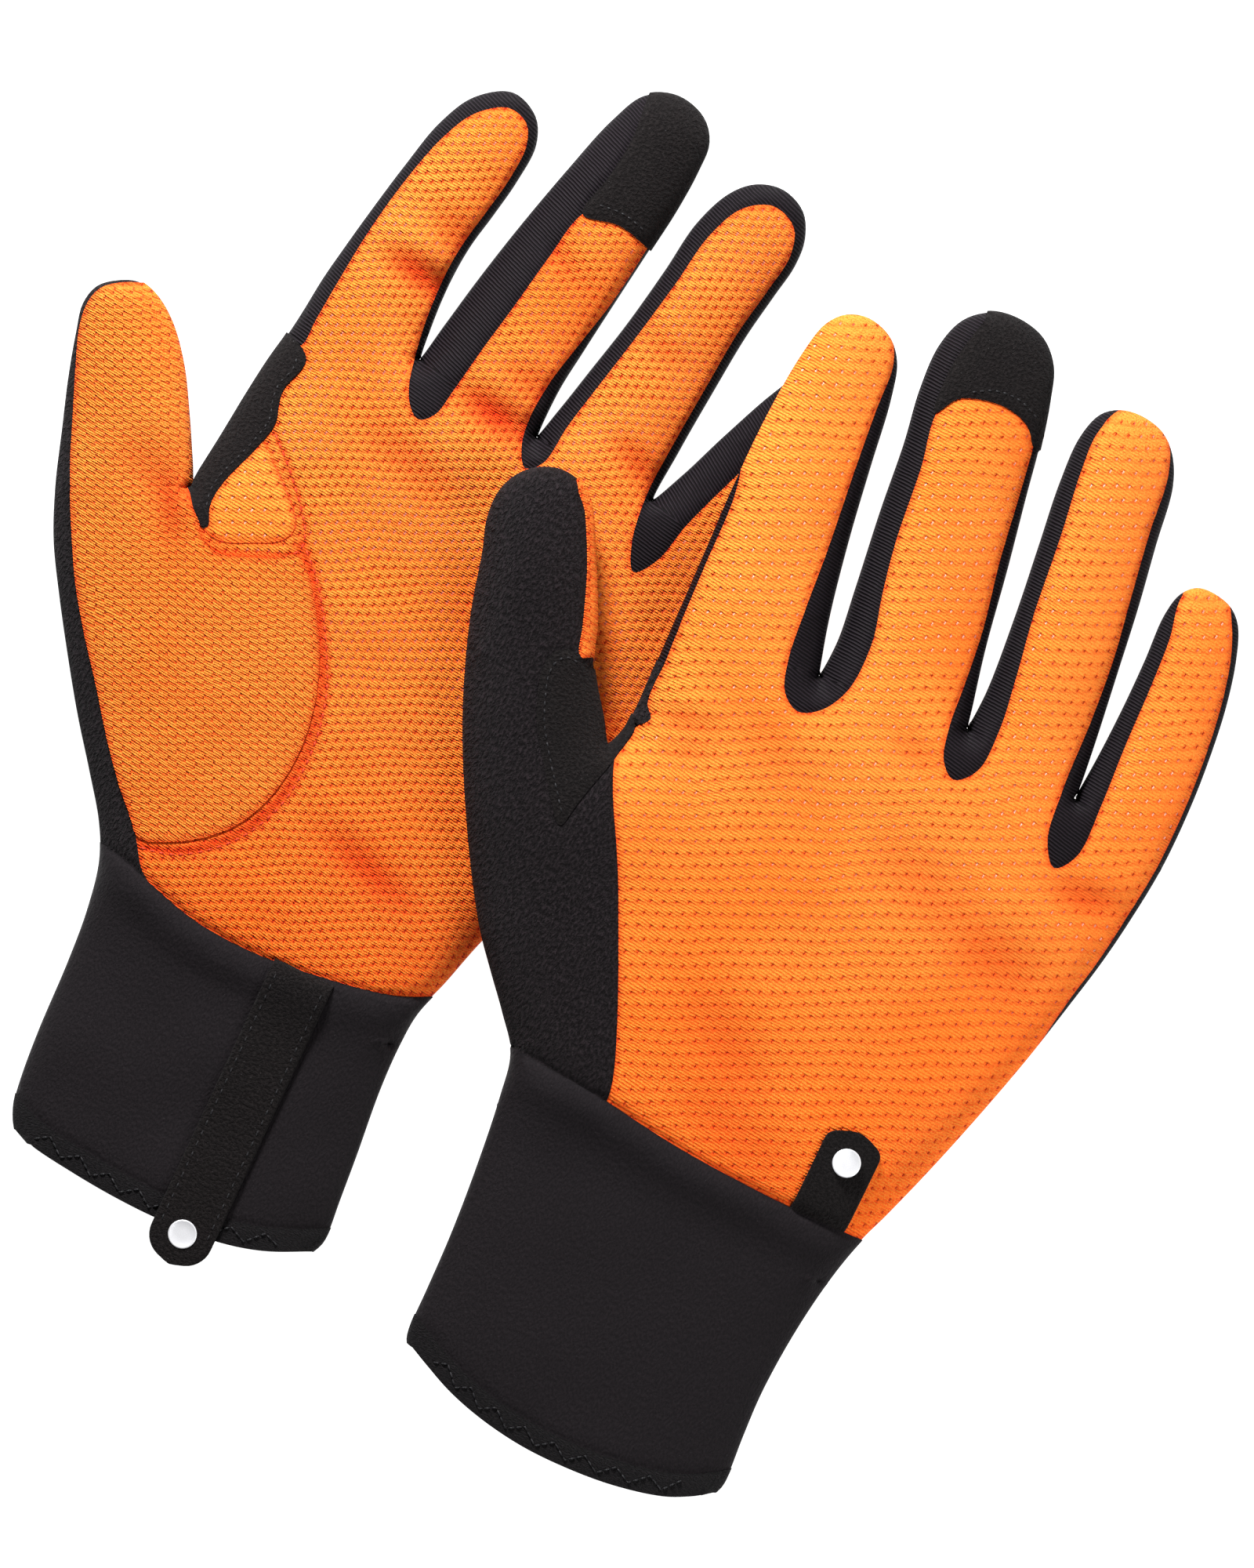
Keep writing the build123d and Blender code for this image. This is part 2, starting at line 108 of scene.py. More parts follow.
LEFT = {
    "side": "left",
    "palm_up": True,
    "outline": {
        "thumb_side": [
            (-62.8, -115), (-64.8, -112.2), (-66.2, -108.8), (-67, -104), (-67.8, -94), (-68.3, -79),
            (-69.2, -68), (-71.2, -58), (-74.6, -51), (-80.6, -42.6), (-87.5, -33.4), (-94.5, -23.2),
            (-101, -13.2), (-106.6, -3.8), (-110.8, 6),
        ],
        "thumb": [
            (-110.8, 6), (-114.4, 16.9), (-117.6, 26.7), (-120, 35.5), (-121.2, 41.2), (-120.2, 45.3),
            (-117.2, 47.9), (-113.4, 49.4), (-109.3, 48.4), (-104.4, 45), (-98.8, 38.4), (-93.5, 29.6),
            (-89.2, 21.8), (-86.4, 16.9),
        ],
        "web": [
            (-86.4, 16.9), (-85.9, 21), (-84.9, 29), (-83.9, 38.3), (-82.8, 46.6), (-81.7, 52.5),
            (-80.9, 58),
        ],
        "index": [
            (-80.9, 58), (-80, 66), (-78.8, 73), (-77.4, 80.5), (-74.8, 93), (-72, 104), (-68, 111.4),
            (-61.5, 115.4), (-55.6, 113), (-53.2, 108), (-53.6, 100), (-55, 92), (-56.6, 84), (-57.2, 76),
            (-56.9, 67), (-55.9, 59.2),
        ],
        "middle": [
            (-55.9, 59.2), (-54, 68), (-52, 78), (-49, 91), (-45, 106), (-41, 119), (-37.3, 126),
            (-31.4, 128.4), (-25.4, 126.8), (-22.4, 123), (-22, 117), (-22.6, 108), (-24, 98), (-25.7, 86),
            (-27.2, 75), (-28.4, 65), (-28.2, 55),
        ],
        "ring": [
            (-28.2, 55), (-26.2, 62), (-23.8, 72), (-21.2, 83), (-18.8, 96), (-17, 107.5), (-13.6, 115.6),
            (-9.6, 119.4), (-4.4, 120.6), (0.8, 118.4), (3.4, 113.6), (3.8, 108), (2.6, 101), (0.9, 91),
            (-0.4, 78), (-1.5, 65), (-2, 53.4),
        ],
        "pinky": [
            (-2, 53.4), (1.6, 60.5), (6, 71.5), (11.3, 83.5), (15.3, 90), (21, 92.2), (26.6, 89.4),
            (28.6, 83.5), (26.4, 75), (22.4, 63), (18.3, 48),
        ],
        "outer_side": [
            (18.3, 48), (18.6, 35), (19.2, 22), (16.6, 4), (11.2, -16), (7, -32), (3.6, -42), (1, -51),
            (-1.6, -59), (-2.2, -66), (-2, -76), (-0.7, -90), (0.1, -100), (0.6, -105.6), (0.4, -108.6),
            (-1, -111.6),
        ],
    },
    "seam": [
        (-75, -54.4), (-67, -55.8), (-60, -58), (-50, -60.7), (-40, -61.7), (-30, -61.4), (-20, -60.2),
        (-12, -58.9), (-6, -57.4), (-1, -55.2), (5, -52),
    ],
    "hem_top": [
        (-72, -109.6), (-63.4, -113.9), (-60, -115.2), (-50, -116.7), (-40, -117.6), (-30, -117.8),
        (-18, -117), (-9, -114.8), (-0.8, -111), (7, -106.4),
    ],
    "hem_bottom": [
        (-72, -110.4), (-63.4, -113.9), (-50, -114.6), (-30, -114.4), (-12, -113.4), (-0.8, -111),
        (7, -107),
    ],
    "top": {
        "cap": [
            (-38.6, 99.4), (-37, 108), (-35.9, 117), (-36.6, 127), (-36, 133), (-19, 133), (-20.4, 98.2),
            (-24, 98.8), (-31, 100.4),
        ],
        "web_patch": [
            (-88.4, 18), (-86.1, 15.6), (-83.6, 12.9), (-80.6, 10.6), (-79.9, 11.4), (-81.3, 15.2),
            (-81.2, 18.5), (-80.4, 22), (-78.7, 26.7), (-77.3, 31), (-76.4, 36), (-77.4, 39.5),
            (-77.8, 42.7), (-76.4, 47), (-76.2, 49.8), (-78, 51.6), (-81.4, 53), (-86, 53.4), (-89, 36),
        ],
        "tongue": [
            (-80.6, 10.6), (-76.2, 9.9), (-70.6, 12.2), (-66, 14.6), (-64.2, 17), (-64.4, 19.4),
            (-67.8, 23.4), (-72, 27.1), (-77.4, 31.4), (-80.4, 31), (-84, 22), (-83.4, 13.4),
        ],
        "thenar": [
            (-85.6, 18), (-82.4, 13.2), (-81, 9.8), (-76.6, 7.6), (-70.4, 9.4), (-64, 12.2), (-61.2, 13.8),
            (-57.4, 11), (-53.8, 6.2), (-50.2, 0.2), (-46.8, -7.9), (-44.9, -15.7), (-44.5, -24.2),
            (-46, -32.5), (-49.4, -39.7), (-54.4, -45), (-60.8, -49), (-66, -50.6),
            *BALL_EDGE, (-108, 27), (-90, 25),
        ],
        "orange": [
            (-63.2, -56), (-65.6, -52.6), (-67.6, -49.6), *BALL_EDGE, (-117.4, 30),
            (-119.8, 36.8), (-120.4, 41.8), (-119.4, 45.2),
            (-116.8, 47.5), (-113.4, 49.2), (-108, 51), (-100, 48), (-92, 35), (-87, 41), (-81, 51),
            (-78.4, 52), (-77.9, 58), (-77.1, 67), (-75.8, 78.6), (-73.2, 92), (-70.1, 102.2),
            (-66.6, 108.5), (-61, 112.4), (-56.6, 111.2), (-54.6, 107.2), (-54.8, 100), (-56.2, 92),
            (-57.8, 84), (-58.4, 76), (-58, 67), (-57, 60), (-55.6, 54), (-53.6, 50.2), (-51, 48.4),
            (-48.4, 50.6), (-47, 57), (-45.4, 66), (-43.2, 77), (-41, 89), (-39, 98.6), (-34, 106),
            (-28, 106), (-24, 101), (-24.2, 98), (-25.9, 86), (-28.2, 76), (-30.4, 66), (-31, 58),
            (-30.2, 52.6), (-27.6, 48.6), (-24.8, 51), (-23.4, 60), (-21.2, 70), (-18.5, 82), (-15.9, 95),
            (-13.9, 106.2), (-10.2, 113.9), (-4.6, 117), (0.7, 114.8), (2.4, 109.4), (1.2, 101), (-0.6, 91),
            (-1.8, 78), (-2.9, 65), (-3.4, 54), (-2, 44), (0.7, 39), (4, 43), (6.4, 52), (10.4, 63),
            (15.2, 75), (19, 83), (22.6, 85), (25, 81.4), (22.4, 72), (18.6, 60), (16.2, 48), (16.6, 35),
            (17, 22), (14.8, 4), (12, -16), (12, -32), (12, -60), (-60, -68), (-60.4, -58.6),
        ],
    },
    "cap_edge": [
        (-36.6, 102.4), (-31, 102.8), (-26, 101.6),
    ],
    "patch_edge": [
        (-81.9, 14.6), (-82.6, 18.6), (-81.9, 22.4), (-80.2, 27), (-78.8, 31.2), (-77.9, 36), (-78.9, 39.6),
        (-79.2, 43), (-77.9, 47), (-78.2, 49.6),
    ],
    "rows": {
        "lobe": [
            (-60.4, 15.6), (-56, 11.2), (-52.2, 6), (-48.8, 0.2), (-44.9, -7.6), (-42.8, -15.5),
            (-42.2, -24.2), (-43.2, -32.4), (-46.9, -40.6), (-52.2, -46.6), (-58.7, -50.8), (-65.6, -52.4),
        ],
        "tongue": [
            (-78, 7.9), (-76.4, 7.2), (-70.5, 9), (-64.2, 11.9), (-61.3, 15), (-61.8, 18.3), (-64.4, 22.2),
            (-69.6, 28.1), (-75.8, 34),
        ],
    },
    "bottom_hand": [
        (-49, -70), (-50, -58), (-55, -44), (-63, -26), (-71, -8), (-77, 6), (-80, 16), (-80, 44),
        (-66, 50), (-50, 46), (-38, 50), (-26, 44), (-12, 46), (0, 36), (10, 38), (16, 30), (14, 6),
        (10, -20), (12, -44), (8, -70),
    ],
    "fleece_bottom": [
        (-120, -66), (-49, -66), (-50, -58), (-55, -44), (-63, -26), (-71, -8), (-77, 6), (-80, 12),
        (-86, 16), (-104, 60), (-130, 60),
    ],
    "strap_x": -25.0,
    "strap_end": -125.0,
    "tab_x": -10.5,
}

RIGHT = {
    "side": "right",
    "palm_up": False,
    "outline": {
        "thumb_side": [
            (26.2, -120.3), (24.9, -118.2), (24.4, -115.4), (24.3, -108), (24, -96), (23, -82), (21.3, -67),
            (19.5, -58), (14.4, -51.2), (9, -44.9), (3.7, -38.5), (-2, -30), (-8.1, -19.7), (-13.8, -9.1),
            (-18.1, 0), (-22.4, 11),
        ],
        "thumb": [
            (-22.4, 11), (-25.3, 20), (-27.8, 30), (-29.8, 36.5), (-29.9, 42.4), (-27.8, 47), (-24.5, 49.8),
            (-20.6, 51), (-16.8, 50.4), (-13.8, 48.2), (-11.4, 44.8), (-8.2, 38.7), (-5, 32.5), (-2, 26.2),
            (0.2, 20),
        ],
        "web": [
            (0.2, 20), (3.3, 15), (7, 10), (10.6, 5.2), (12.6, 9), (13, 14), (12.9, 20), (12.6, 32),
        ],
        "index": [
            (12.6, 32), (12.2, 48), (11.8, 62), (11.9, 78), (13, 92), (14.8, 99.8), (17.8, 103.2),
            (22, 104.3), (27, 102.8), (30.4, 99), (32.4, 92), (34.4, 78), (36.5, 64), (39.3, 49),
            (41.4, 40.5), (43, 35.6),
        ],
        "middle": [
            (43, 35.6), (43.7, 43), (42.4, 55), (40.4, 71), (39, 85), (37.3, 96), (37.1, 105.6),
            (39.2, 112), (43.4, 115.6), (49, 116.6), (54.8, 115.2), (58.8, 111.2), (61, 105), (63.2, 96),
            (65, 86), (67.8, 71), (70.5, 55), (72.9, 44), (74.2, 38.6),
        ],
        "ring": [
            (74.2, 38.6), (74.9, 46), (73.7, 63), (72, 78), (70.5, 91), (70.3, 101), (72, 106.6), (75, 109),
            (79.2, 109.8), (84.4, 108.7), (88, 105.6), (90.8, 100), (92.7, 88), (94.8, 75), (96.5, 62),
            (98.3, 48), (99.2, 40), (99.7, 35),
        ],
        "pinky": [
            (99.7, 35), (100.5, 43), (101, 55), (101, 66), (100.7, 76), (101.8, 81), (104.2, 83.5),
            (107.6, 83.9), (111.8, 82.8), (114.5, 80.2), (117, 74), (119.1, 65), (120.5, 54), (121.2, 43),
            (121.1, 30),
        ],
        "outer_side": [
            (121.1, 30), (119.8, 18), (118.2, 8), (115.8, -3), (113, -15), (109, -29.5), (104.2, -45),
            (100.4, -56), (98, -62.4), (95.7, -71), (93.6, -84), (92.6, -98), (92.9, -108), (93.4, -115.8),
            (93.2, -118.8), (92, -121.2),
        ],
    },
    "seam": [
        (12, -56), (19.5, -56.9), (30, -57.8), (40, -58.8), (50, -60.3), (60, -61.4), (70, -62),
        (81, -62.4), (98, -62.4), (106, -62),
    ],
    "hem_top": [
        (18, -115.2), (25.7, -119.4), (29, -121.2), (35, -124), (43, -126.4), (53, -128), (63, -128.2),
        (73, -127.4), (83, -125.3), (88, -123.1), (92.2, -120.6), (99, -116),
    ],
    "hem_bottom": [
        (18, -115.8), (25.7, -119.4), (40, -122.4), (60, -123.6), (78, -123.4), (92.2, -120.6),
        (99, -116.6),
    ],
    "top": {
        "cap": [
            (41.6, 93), (40.8, 103), (42.6, 112), (46, 122), (70, 120), (66, 100), (63.4, 94.6), (62, 95.4),
            (59.8, 98), (55, 99.8), (49.3, 99.4), (44.4, 97.4),
        ],
        "web_patch": [
            (-8, 14.4), (-7.4, 17.6), (-5, 19.5), (-2.4, 19.2), (0.8, 18), (6, 18), (14, 12), (13, 4.4),
            (11, -2), (9.4, -8), (8.4, -12.8), (7.6, -12.8), (3.7, -8), (-1.1, -1.3), (-4.6, 3.8),
            (-6.9, 9.5),
        ],
        "sliver": [
            (-17, 54), (-16.4, 49.4), (-13.5, 46.2), (-10.6, 41), (-7.6, 34.6), (-5.5, 28.9), (-3.9, 24.2),
            (-2.6, 19.8), (-1, 18.6), (4, 20), (-4, 36), (-10, 52),
        ],
        "orange": [
            (40.6, -70), (39.8, -58), (38.3, -52), (36.4, -47), (33.4, -39.8), (30.1, -32.5), (26.7, -25.2),
            (23.3, -18), (19.5, -10.9), (15.7, -4), (13.1, 2.2), (12.7, 5.4), (13.6, 8.8), (14.4, 11.6),
            (16, 14), (14.4, 16.3), (14, 20), (14.1, 25), (13.7, 32), (13.2, 46), (12.8, 60), (11.6, 68),
            (9, 80), (10, 94), (14, 104), (21, 107.5), (27, 104.5), (30.2, 98.6), (30.8, 89), (32, 75),
            (33.7, 59), (34.6, 46), (35.6, 36), (37.6, 30), (41.4, 27.6), (45.8, 30), (49, 36), (49.4, 46),
            (47.2, 56), (45.2, 67), (43.6, 82), (41.8, 93), (44, 105), (60, 105), (62.4, 94.6), (63.8, 86),
            (65.8, 72), (68.6, 58), (69.8, 46), (70.4, 37), (72, 31), (75.3, 28.4), (79, 32), (79.8, 41),
            (78.5, 52), (76.5, 65), (74.8, 81), (73, 95), (72.8, 103), (75, 109), (80, 112), (86, 109),
            (89.2, 102), (90.6, 90), (92.8, 76), (94.8, 64), (96, 50), (96.4, 36), (97.6, 25.6),
            (101.2, 21), (104.4, 25), (104.8, 36), (104.3, 49), (104, 61), (103.4, 72), (102.2, 80),
            (104, 86), (109, 87), (113.4, 80.4), (116.2, 74), (118.4, 65), (119.9, 54), (120.6, 43),
            (120.5, 30), (119.2, 18), (117.8, 8), (115.6, -3), (114.6, -13), (117, -24), (108, -60),
            (106, -70),
        ],
    },
    "cap_edge": [
        (45.2, 99.6), (49.6, 102), (54.8, 102.4), (60, 100.6),
    ],
    "patch_edge": [
        (-1.6, 17.9), (-4.4, 18), (-6, 16.4), (-6.4, 13.6), (-5.2, 9.2), (-3.1, 4.2), (0.2, -0.8),
        (4.7, -6.9), (7.5, -10.6),
    ],
    "rows": {},
    "bottom_hand": [
        (24, -70), (22, -58), (12, -43), (-3, -24), (-13, -4), (-18, 12), (-4, 16), (12, 8), (16, 20),
        (16, 34), (30, 32), (42, 24), (57, 30), (75, 25), (88, 29), (101, 17), (110, 20), (116, 10),
        (111, -15), (104, -44), (106, -56), (100, -70),
    ],
    "tongue_below": [
        (3, 10), (7, 4), (11, -1), (16, 0), (20, 3.5), (20, 8.5), (16, 12), (12, 9.5), (8, 12),
    ],
    "fleece_bottom": [
        (-60, -66), (24, -66), (22, -58), (12, -43), (-3, -24), (-13, -4), (-18, 12), (-23, 30), (-25, 44),
        (-22, 47), (-22, 60), (-60, 60),
    ],
    "strap_x": 70.0,
    "strap_end": -124.5,
    "tab_x": 87.7,
}
DIGITS = ("thumb", "index", "middle", "ring", "pinky")


# ================================================================ bench planes and digit axes
def bench_of(glove):
    """Origin and axes of the plane that the glove's plan is drawn in, in millimetres."""
    if glove["palm_up"]:
        return np.zeros(3), np.eye(3)
    hinge = joints["right_pinky_flex"]["pos_m"]
    across = joints["right_tab_lift"]["axis"]
    lean = atan2(-across[2], across[0])
    rows = np.array([[cos(lean), 0, -sin(lean)], [0, 1, 0], [sin(lean), 0, cos(lean)]])
    return np.array([0, 0, (hinge[2] + hinge[0] * tan(lean)) / MM]), rows


def to_row(glove, points):
    """Plan points with their height, to the row frame in metres."""
    origin, rows = bench_of(glove)
    return (np.asarray(points, float) @ rows + origin) * MM


def to_plan(glove, point_m):
    """A row point in metres, to the glove's plan and height in millimetres."""
    origin, rows = bench_of(glove)
    return (np.asarray(point_m, float) / MM - origin) @ rows.T


def digit_axis(glove, digit):
    """A digit's hinge centre in plan and the unit vector from there to its tip."""
    joint = joints[f"{glove['side']}_{digit}_flex"]
    base = to_plan(glove, joint["pos_m"])[:2]
    across = (np.asarray(joint["axis"]) @ bench_of(glove)[1].T)[:2]
    if not glove["palm_up"]:
        across = -across
    return base, np.array([-across[1], across[0]])


# ================================================================ curves in plan
def smooth(points, step=OUTLINE_STEP, closed=False):
    """A centripetal Catmull-Rom curve through the points, sampled about every step."""
    knots = np.asarray(points, float)
    if closed:
        knots = np.vstack([knots[-1:], knots, knots[:2]])
    else:
        knots = np.vstack([2 * knots[0] - knots[1], knots, 2 * knots[-1] - knots[-2]])
    out = []
    for p0, p1, p2, p3 in zip(knots, knots[1:], knots[2:], knots[3:]):
        spans = ((p0, p1), (p1, p2), (p2, p3))
        t1, t2, t3 = np.cumsum([np.sqrt(np.linalg.norm(b - a)) + 1e-6 for a, b in spans])
        count = max(1, int(round(np.linalg.norm(p2 - p1) / step)))
        t = np.linspace(t1, t2, count, endpoint=False)[:, None]
        a1 = (t1 - t) / t1 * p0 + t / t1 * p1
        a2 = (t2 - t) / (t2 - t1) * p1 + (t - t1) / (t2 - t1) * p2
        a3 = (t3 - t) / (t3 - t2) * p2 + (t - t2) / (t3 - t2) * p3
        b1 = (t2 - t) / t2 * a1 + t / t2 * a2
        b2 = (t3 - t) / (t3 - t1) * a2 + (t - t1) / (t3 - t1) * a3
        out.append((t2 - t) / (t2 - t1) * b1 + (t - t1) / (t2 - t1) * b2)
    if not closed:
        out.append(knots[-2:-1])
    return np.vstack(out)


def inside(points, polygon):
    """Which points lie in a closed polygon."""
    x, y = points[:, 0][:, None], points[:, 1][:, None]
    ax, ay = polygon[:, 0], polygon[:, 1]
    bx, by = np.roll(ax, -1), np.roll(ay, -1)
    crosses = (ay > y) != (by > y)
    with np.errstate(divide="ignore", invalid="ignore"):
        at = (bx - ax) * (y - ay) / (by - ay) + ax
    return (np.sum(crosses & (x < at), axis=1) % 2) == 1


def nearest(points, targets):
    """Distance from each point to the nearest target point."""
    tree = KDTree(len(targets))
    for number, target in enumerate(targets):
        tree.insert((target[0], target[1], 0), number)
    tree.balance()
    return np.array([tree.find((p[0], p[1], 0))[2] for p in points])


def seen(glove, points, height):
    """Points seen from straight above, put where a point at this height in the glove's plane lies."""
    rows = bench_of(glove)[1]
    out = np.asarray(points, float).copy()
    out[:, 0] = (out[:, 0] - height * rows[2][0]) / rows[0][0]
    return out


def left_of(along, guard=0.0):
    """Unit vectors to the left of the given directions. The guard keeps one of no length from dividing by 0."""
    return np.stack([-along[:, 1], along[:, 0]], 1) / (np.linalg.norm(along, axis=1)[:, None] + guard)


def outline_of(glove):
    """The whole outline, carried on past the hem, and the two ends of each digit's stretch."""
    points, ends = [], {}
    for name, stretch in glove["outline"].items():
        stretch = seen(glove, stretch, EDGE_HEIGHT).tolist()
        points += stretch[:-1]
        if name in DIGITS:
            ends[name] = (np.array(stretch[0]), np.array(stretch[-1]))
    points.append(stretch[-1])
    curve = smooth(points)
    curve = curve + left_of(np.gradient(curve, axis=0)) * GROW
    for name, pair in ends.items():
        ends[name] = tuple(curve[np.argmin(np.linalg.norm(curve - end, axis=1))] for end in pair)
    start, end = curve[0], curve[-1]
    beyond = np.array([(end[0], end[1] - 30), (start[0], start[1] - 26)])
    tail = np.vstack([
        np.linspace(end, beyond[0], 28)[1:],
        np.linspace(beyond[0], beyond[1], 60)[1:],
        np.linspace(beyond[1], start, 24)[1:-1],
    ])
    return np.vstack([curve, tail]), ends


def with_crossings(outline, curves):
    """The outline with a point added wherever one of the curves crosses it."""
    a, b = outline, np.roll(outline, -1, axis=0)
    extra = {}
    for curve in curves:
        for p, q in zip(curve, curve[1:]):
            d, r = b - a, q - p
            cross = d[:, 0] * r[1] - d[:, 1] * r[0]
            cross[np.abs(cross) < 1e-12] = 1e-12
            gap = p - a
            t = (gap[:, 0] * r[1] - gap[:, 1] * r[0]) / cross
            u = (gap[:, 0] * d[:, 1] - gap[:, 1] * d[:, 0]) / cross
            for i in np.nonzero((t > 0.02) & (t < 0.98) & (u >= 0) & (u <= 1))[0]:
                extra.setdefault(int(i), []).append(float(t[i]))
    out = []
    for i, point in enumerate(outline):
        out.append(point)
        out += [point + t * (b[i] - point) for t in sorted(extra.get(i, []))]
    return np.array(out)


# ================================================================ the skin of a glove
def fill(outline, seams):
    """A triangle mesh of the outline's inside, with edges along every seam. Its first points are the
    outline's."""
    spots = [outline]
    inward = left_of(np.roll(outline, 1, axis=0) - np.roll(outline, -1, axis=0))
    for number, ring in enumerate(RINGS):
        row = (outline + inward * ring)[:: 1 if number < 2 else 2]
        spots.append(row[inside(row, outline) & (nearest(row, outline) > 0.93 * ring)])
    seam_points = np.vstack(seams)
    for row_gap in SEAM_ROWS:
        for seam in seams:
            side = left_of(np.gradient(seam, axis=0), 1e-9)
            for row in (seam + side * row_gap, seam - side * row_gap):
                row = row[inside(row, outline)]
                if len(row):
                    off_seams = nearest(row, seam_points) > 0.9 * row_gap
                    spots.append(row[off_seams & (nearest(row, np.vstack(spots)) > CLOSEST)])
    low, high = outline.min(0), outline.max(0)
    xs = np.arange(low[0], high[0], MESH_STEP)
    ys = np.arange(low[1], high[1], MESH_STEP * 0.866)
    grid = np.array([(x + (row % 2) * MESH_STEP / 2, y) for row, y in enumerate(ys) for x in xs])
    grid = grid[inside(grid, outline)]
    spots.append(grid[nearest(grid, np.vstack(spots + [seam_points])) > 0.55 * MESH_STEP])

    points = [Vector(p) for p in np.vstack(spots)]
    count = len(outline)
    edges = [(i, (i + 1) % count) for i in range(count)]
    for seam in seams:
        first = len(points)
        points += [Vector(p) for p in seam]
        edges += [(first + i, first + i + 1) for i in range(len(seam) - 1)]
    made = geometry.delaunay_2d_cdt(points, edges, [], 0, 1e-4)
    verts, faces, origin = np.array([tuple(v) for v in made[0]]), np.array(made[2]), made[3]
    faces = faces[inside(verts[faces].mean(1), outline)]

    first_of = {source: new for new, sources in enumerate(origin) for source in sources if source < count}
    ring = [first_of[i] for i in range(count)]
    order = ring + sorted(set(faces.ravel().tolist()) - set(ring))
    index = np.full(len(verts), -1)
    index[order] = np.arange(len(order))
    faces = index[faces]
    verts = verts[order]
    turn = np.cross(verts[faces[:, 1]] - verts[faces[:, 0]], verts[faces[:, 2]] - verts[faces[:, 0]])
    faces[turn < 0] = faces[turn < 0][:, ::-1]
    return verts, faces[np.abs(turn) > 1e-6]


def puff(verts, faces, count):
    """How far a stuffed skin bulges at each point: zero on the outline, round across a finger, level on a
    wide panel. Solves u - reach^2 * laplacian(u) = reach^2 and returns sqrt(2u)."""
    n = len(verts)
    corner = [verts[faces[:, k]] for k in range(3)]
    rows, cols, weights = [], [], []
    area = 0.5 * np.cross(corner[1] - corner[0], corner[2] - corner[0])
    mass = np.zeros(n)
    for k in range(3):
        np.add.at(mass, faces[:, k], area / 3)
        a, b = (k + 1) % 3, (k + 2) % 3
        u, v = corner[a] - corner[k], corner[b] - corner[k]
        cot = np.clip((u * v).sum(1) / np.maximum(np.cross(u, v), 1e-9), -5, 5) / 2
        rows += [faces[:, a], faces[:, b]]
        cols += [faces[:, b], faces[:, a]]
        weights += [cot, cot]
    rows, cols, weights = np.concatenate(rows), np.concatenate(cols), np.concatenate(weights)
    diagonal = np.bincount(rows, weights, n) + mass / PUFF_REACH ** 2
    diagonal = np.maximum(diagonal, 1e-6)
    free = np.arange(n) >= count

    def apply(x):
        y = diagonal * x - np.bincount(rows, weights * x[cols], n)
        return np.where(free, y, 0)

    x = np.zeros(n)
    residual = np.where(free, mass, 0)
    scaled = residual / diagonal
    search = scaled.copy()
    size = residual @ scaled
    for _ in range(PUFF_ROUNDS):
        image = apply(search)
        step = size / (search @ image)
        x += step * search
        residual -= step * image
        scaled = np.where(free, residual / diagonal, 0)
        new_size = residual @ scaled
        if new_size < PUFF_LEFT_OVER:
            break
        search = scaled + (new_size / size) * search
        size = new_size
    return np.sqrt(2 * np.maximum(x, 0))


def ramp(x, low, high):
    """0 below low, 1 above high, smooth between."""
    t = np.clip((x - low) / (high - low), 0, 1)
    return t * t * (3 - 2 * t)


def waves(points, seed, size):
    """Smooth unevenness in -1 to 1 with features about size millimetres across."""
    rng = np.random.default_rng(seed)
    total = np.zeros(len(points))
    for _ in range(9):
        heading = rng.uniform(0, 2 * pi)
        length = size * rng.uniform(0.8, 1.9)
        phase = rng.uniform(0, 2 * pi)
        along = points[:, 0] * cos(heading) + points[:, 1] * sin(heading)
        total += np.sin(2 * pi * along / length + phase)
    return total / 5


def crease(points, start, end, width):
    """1 along the line from start to end, fading to 0 over width and towards the ends."""
    a, b = np.array(start, float), np.array(end, float)
    t = np.clip(((points - a) @ (b - a)) / ((b - a) @ (b - a)), 0, 1)
    gap = np.linalg.norm(points - (a + t[:, None] * (b - a)), axis=1)
    return bump_at(gap, width) * np.sin(pi * np.clip(0.08 + 0.84 * t, 0, 1))


def floor_of(glove, verts):
    """The height that the bottom face lies at: over the tab on the left, over the strap on the right."""
    in_cuff = ramp(-verts[:, 1], 56, 66)
    return 1.25 * (1 - in_cuff) if glove["palm_up"] else 1.75 * in_cuff


def little_side(glove, verts):
    """0 over most of the glove, rising towards the little finger's side, where the glove is thinner."""
    x = verts[:, 0]
    return ramp(x, -20, 24) if glove["palm_up"] else ramp(x, 70, 118) * 0.6


def bump_at(gap, width):
    """1 where the gap is 0, fading as a bell of this width."""
    return np.exp(-((gap / width) ** 2))
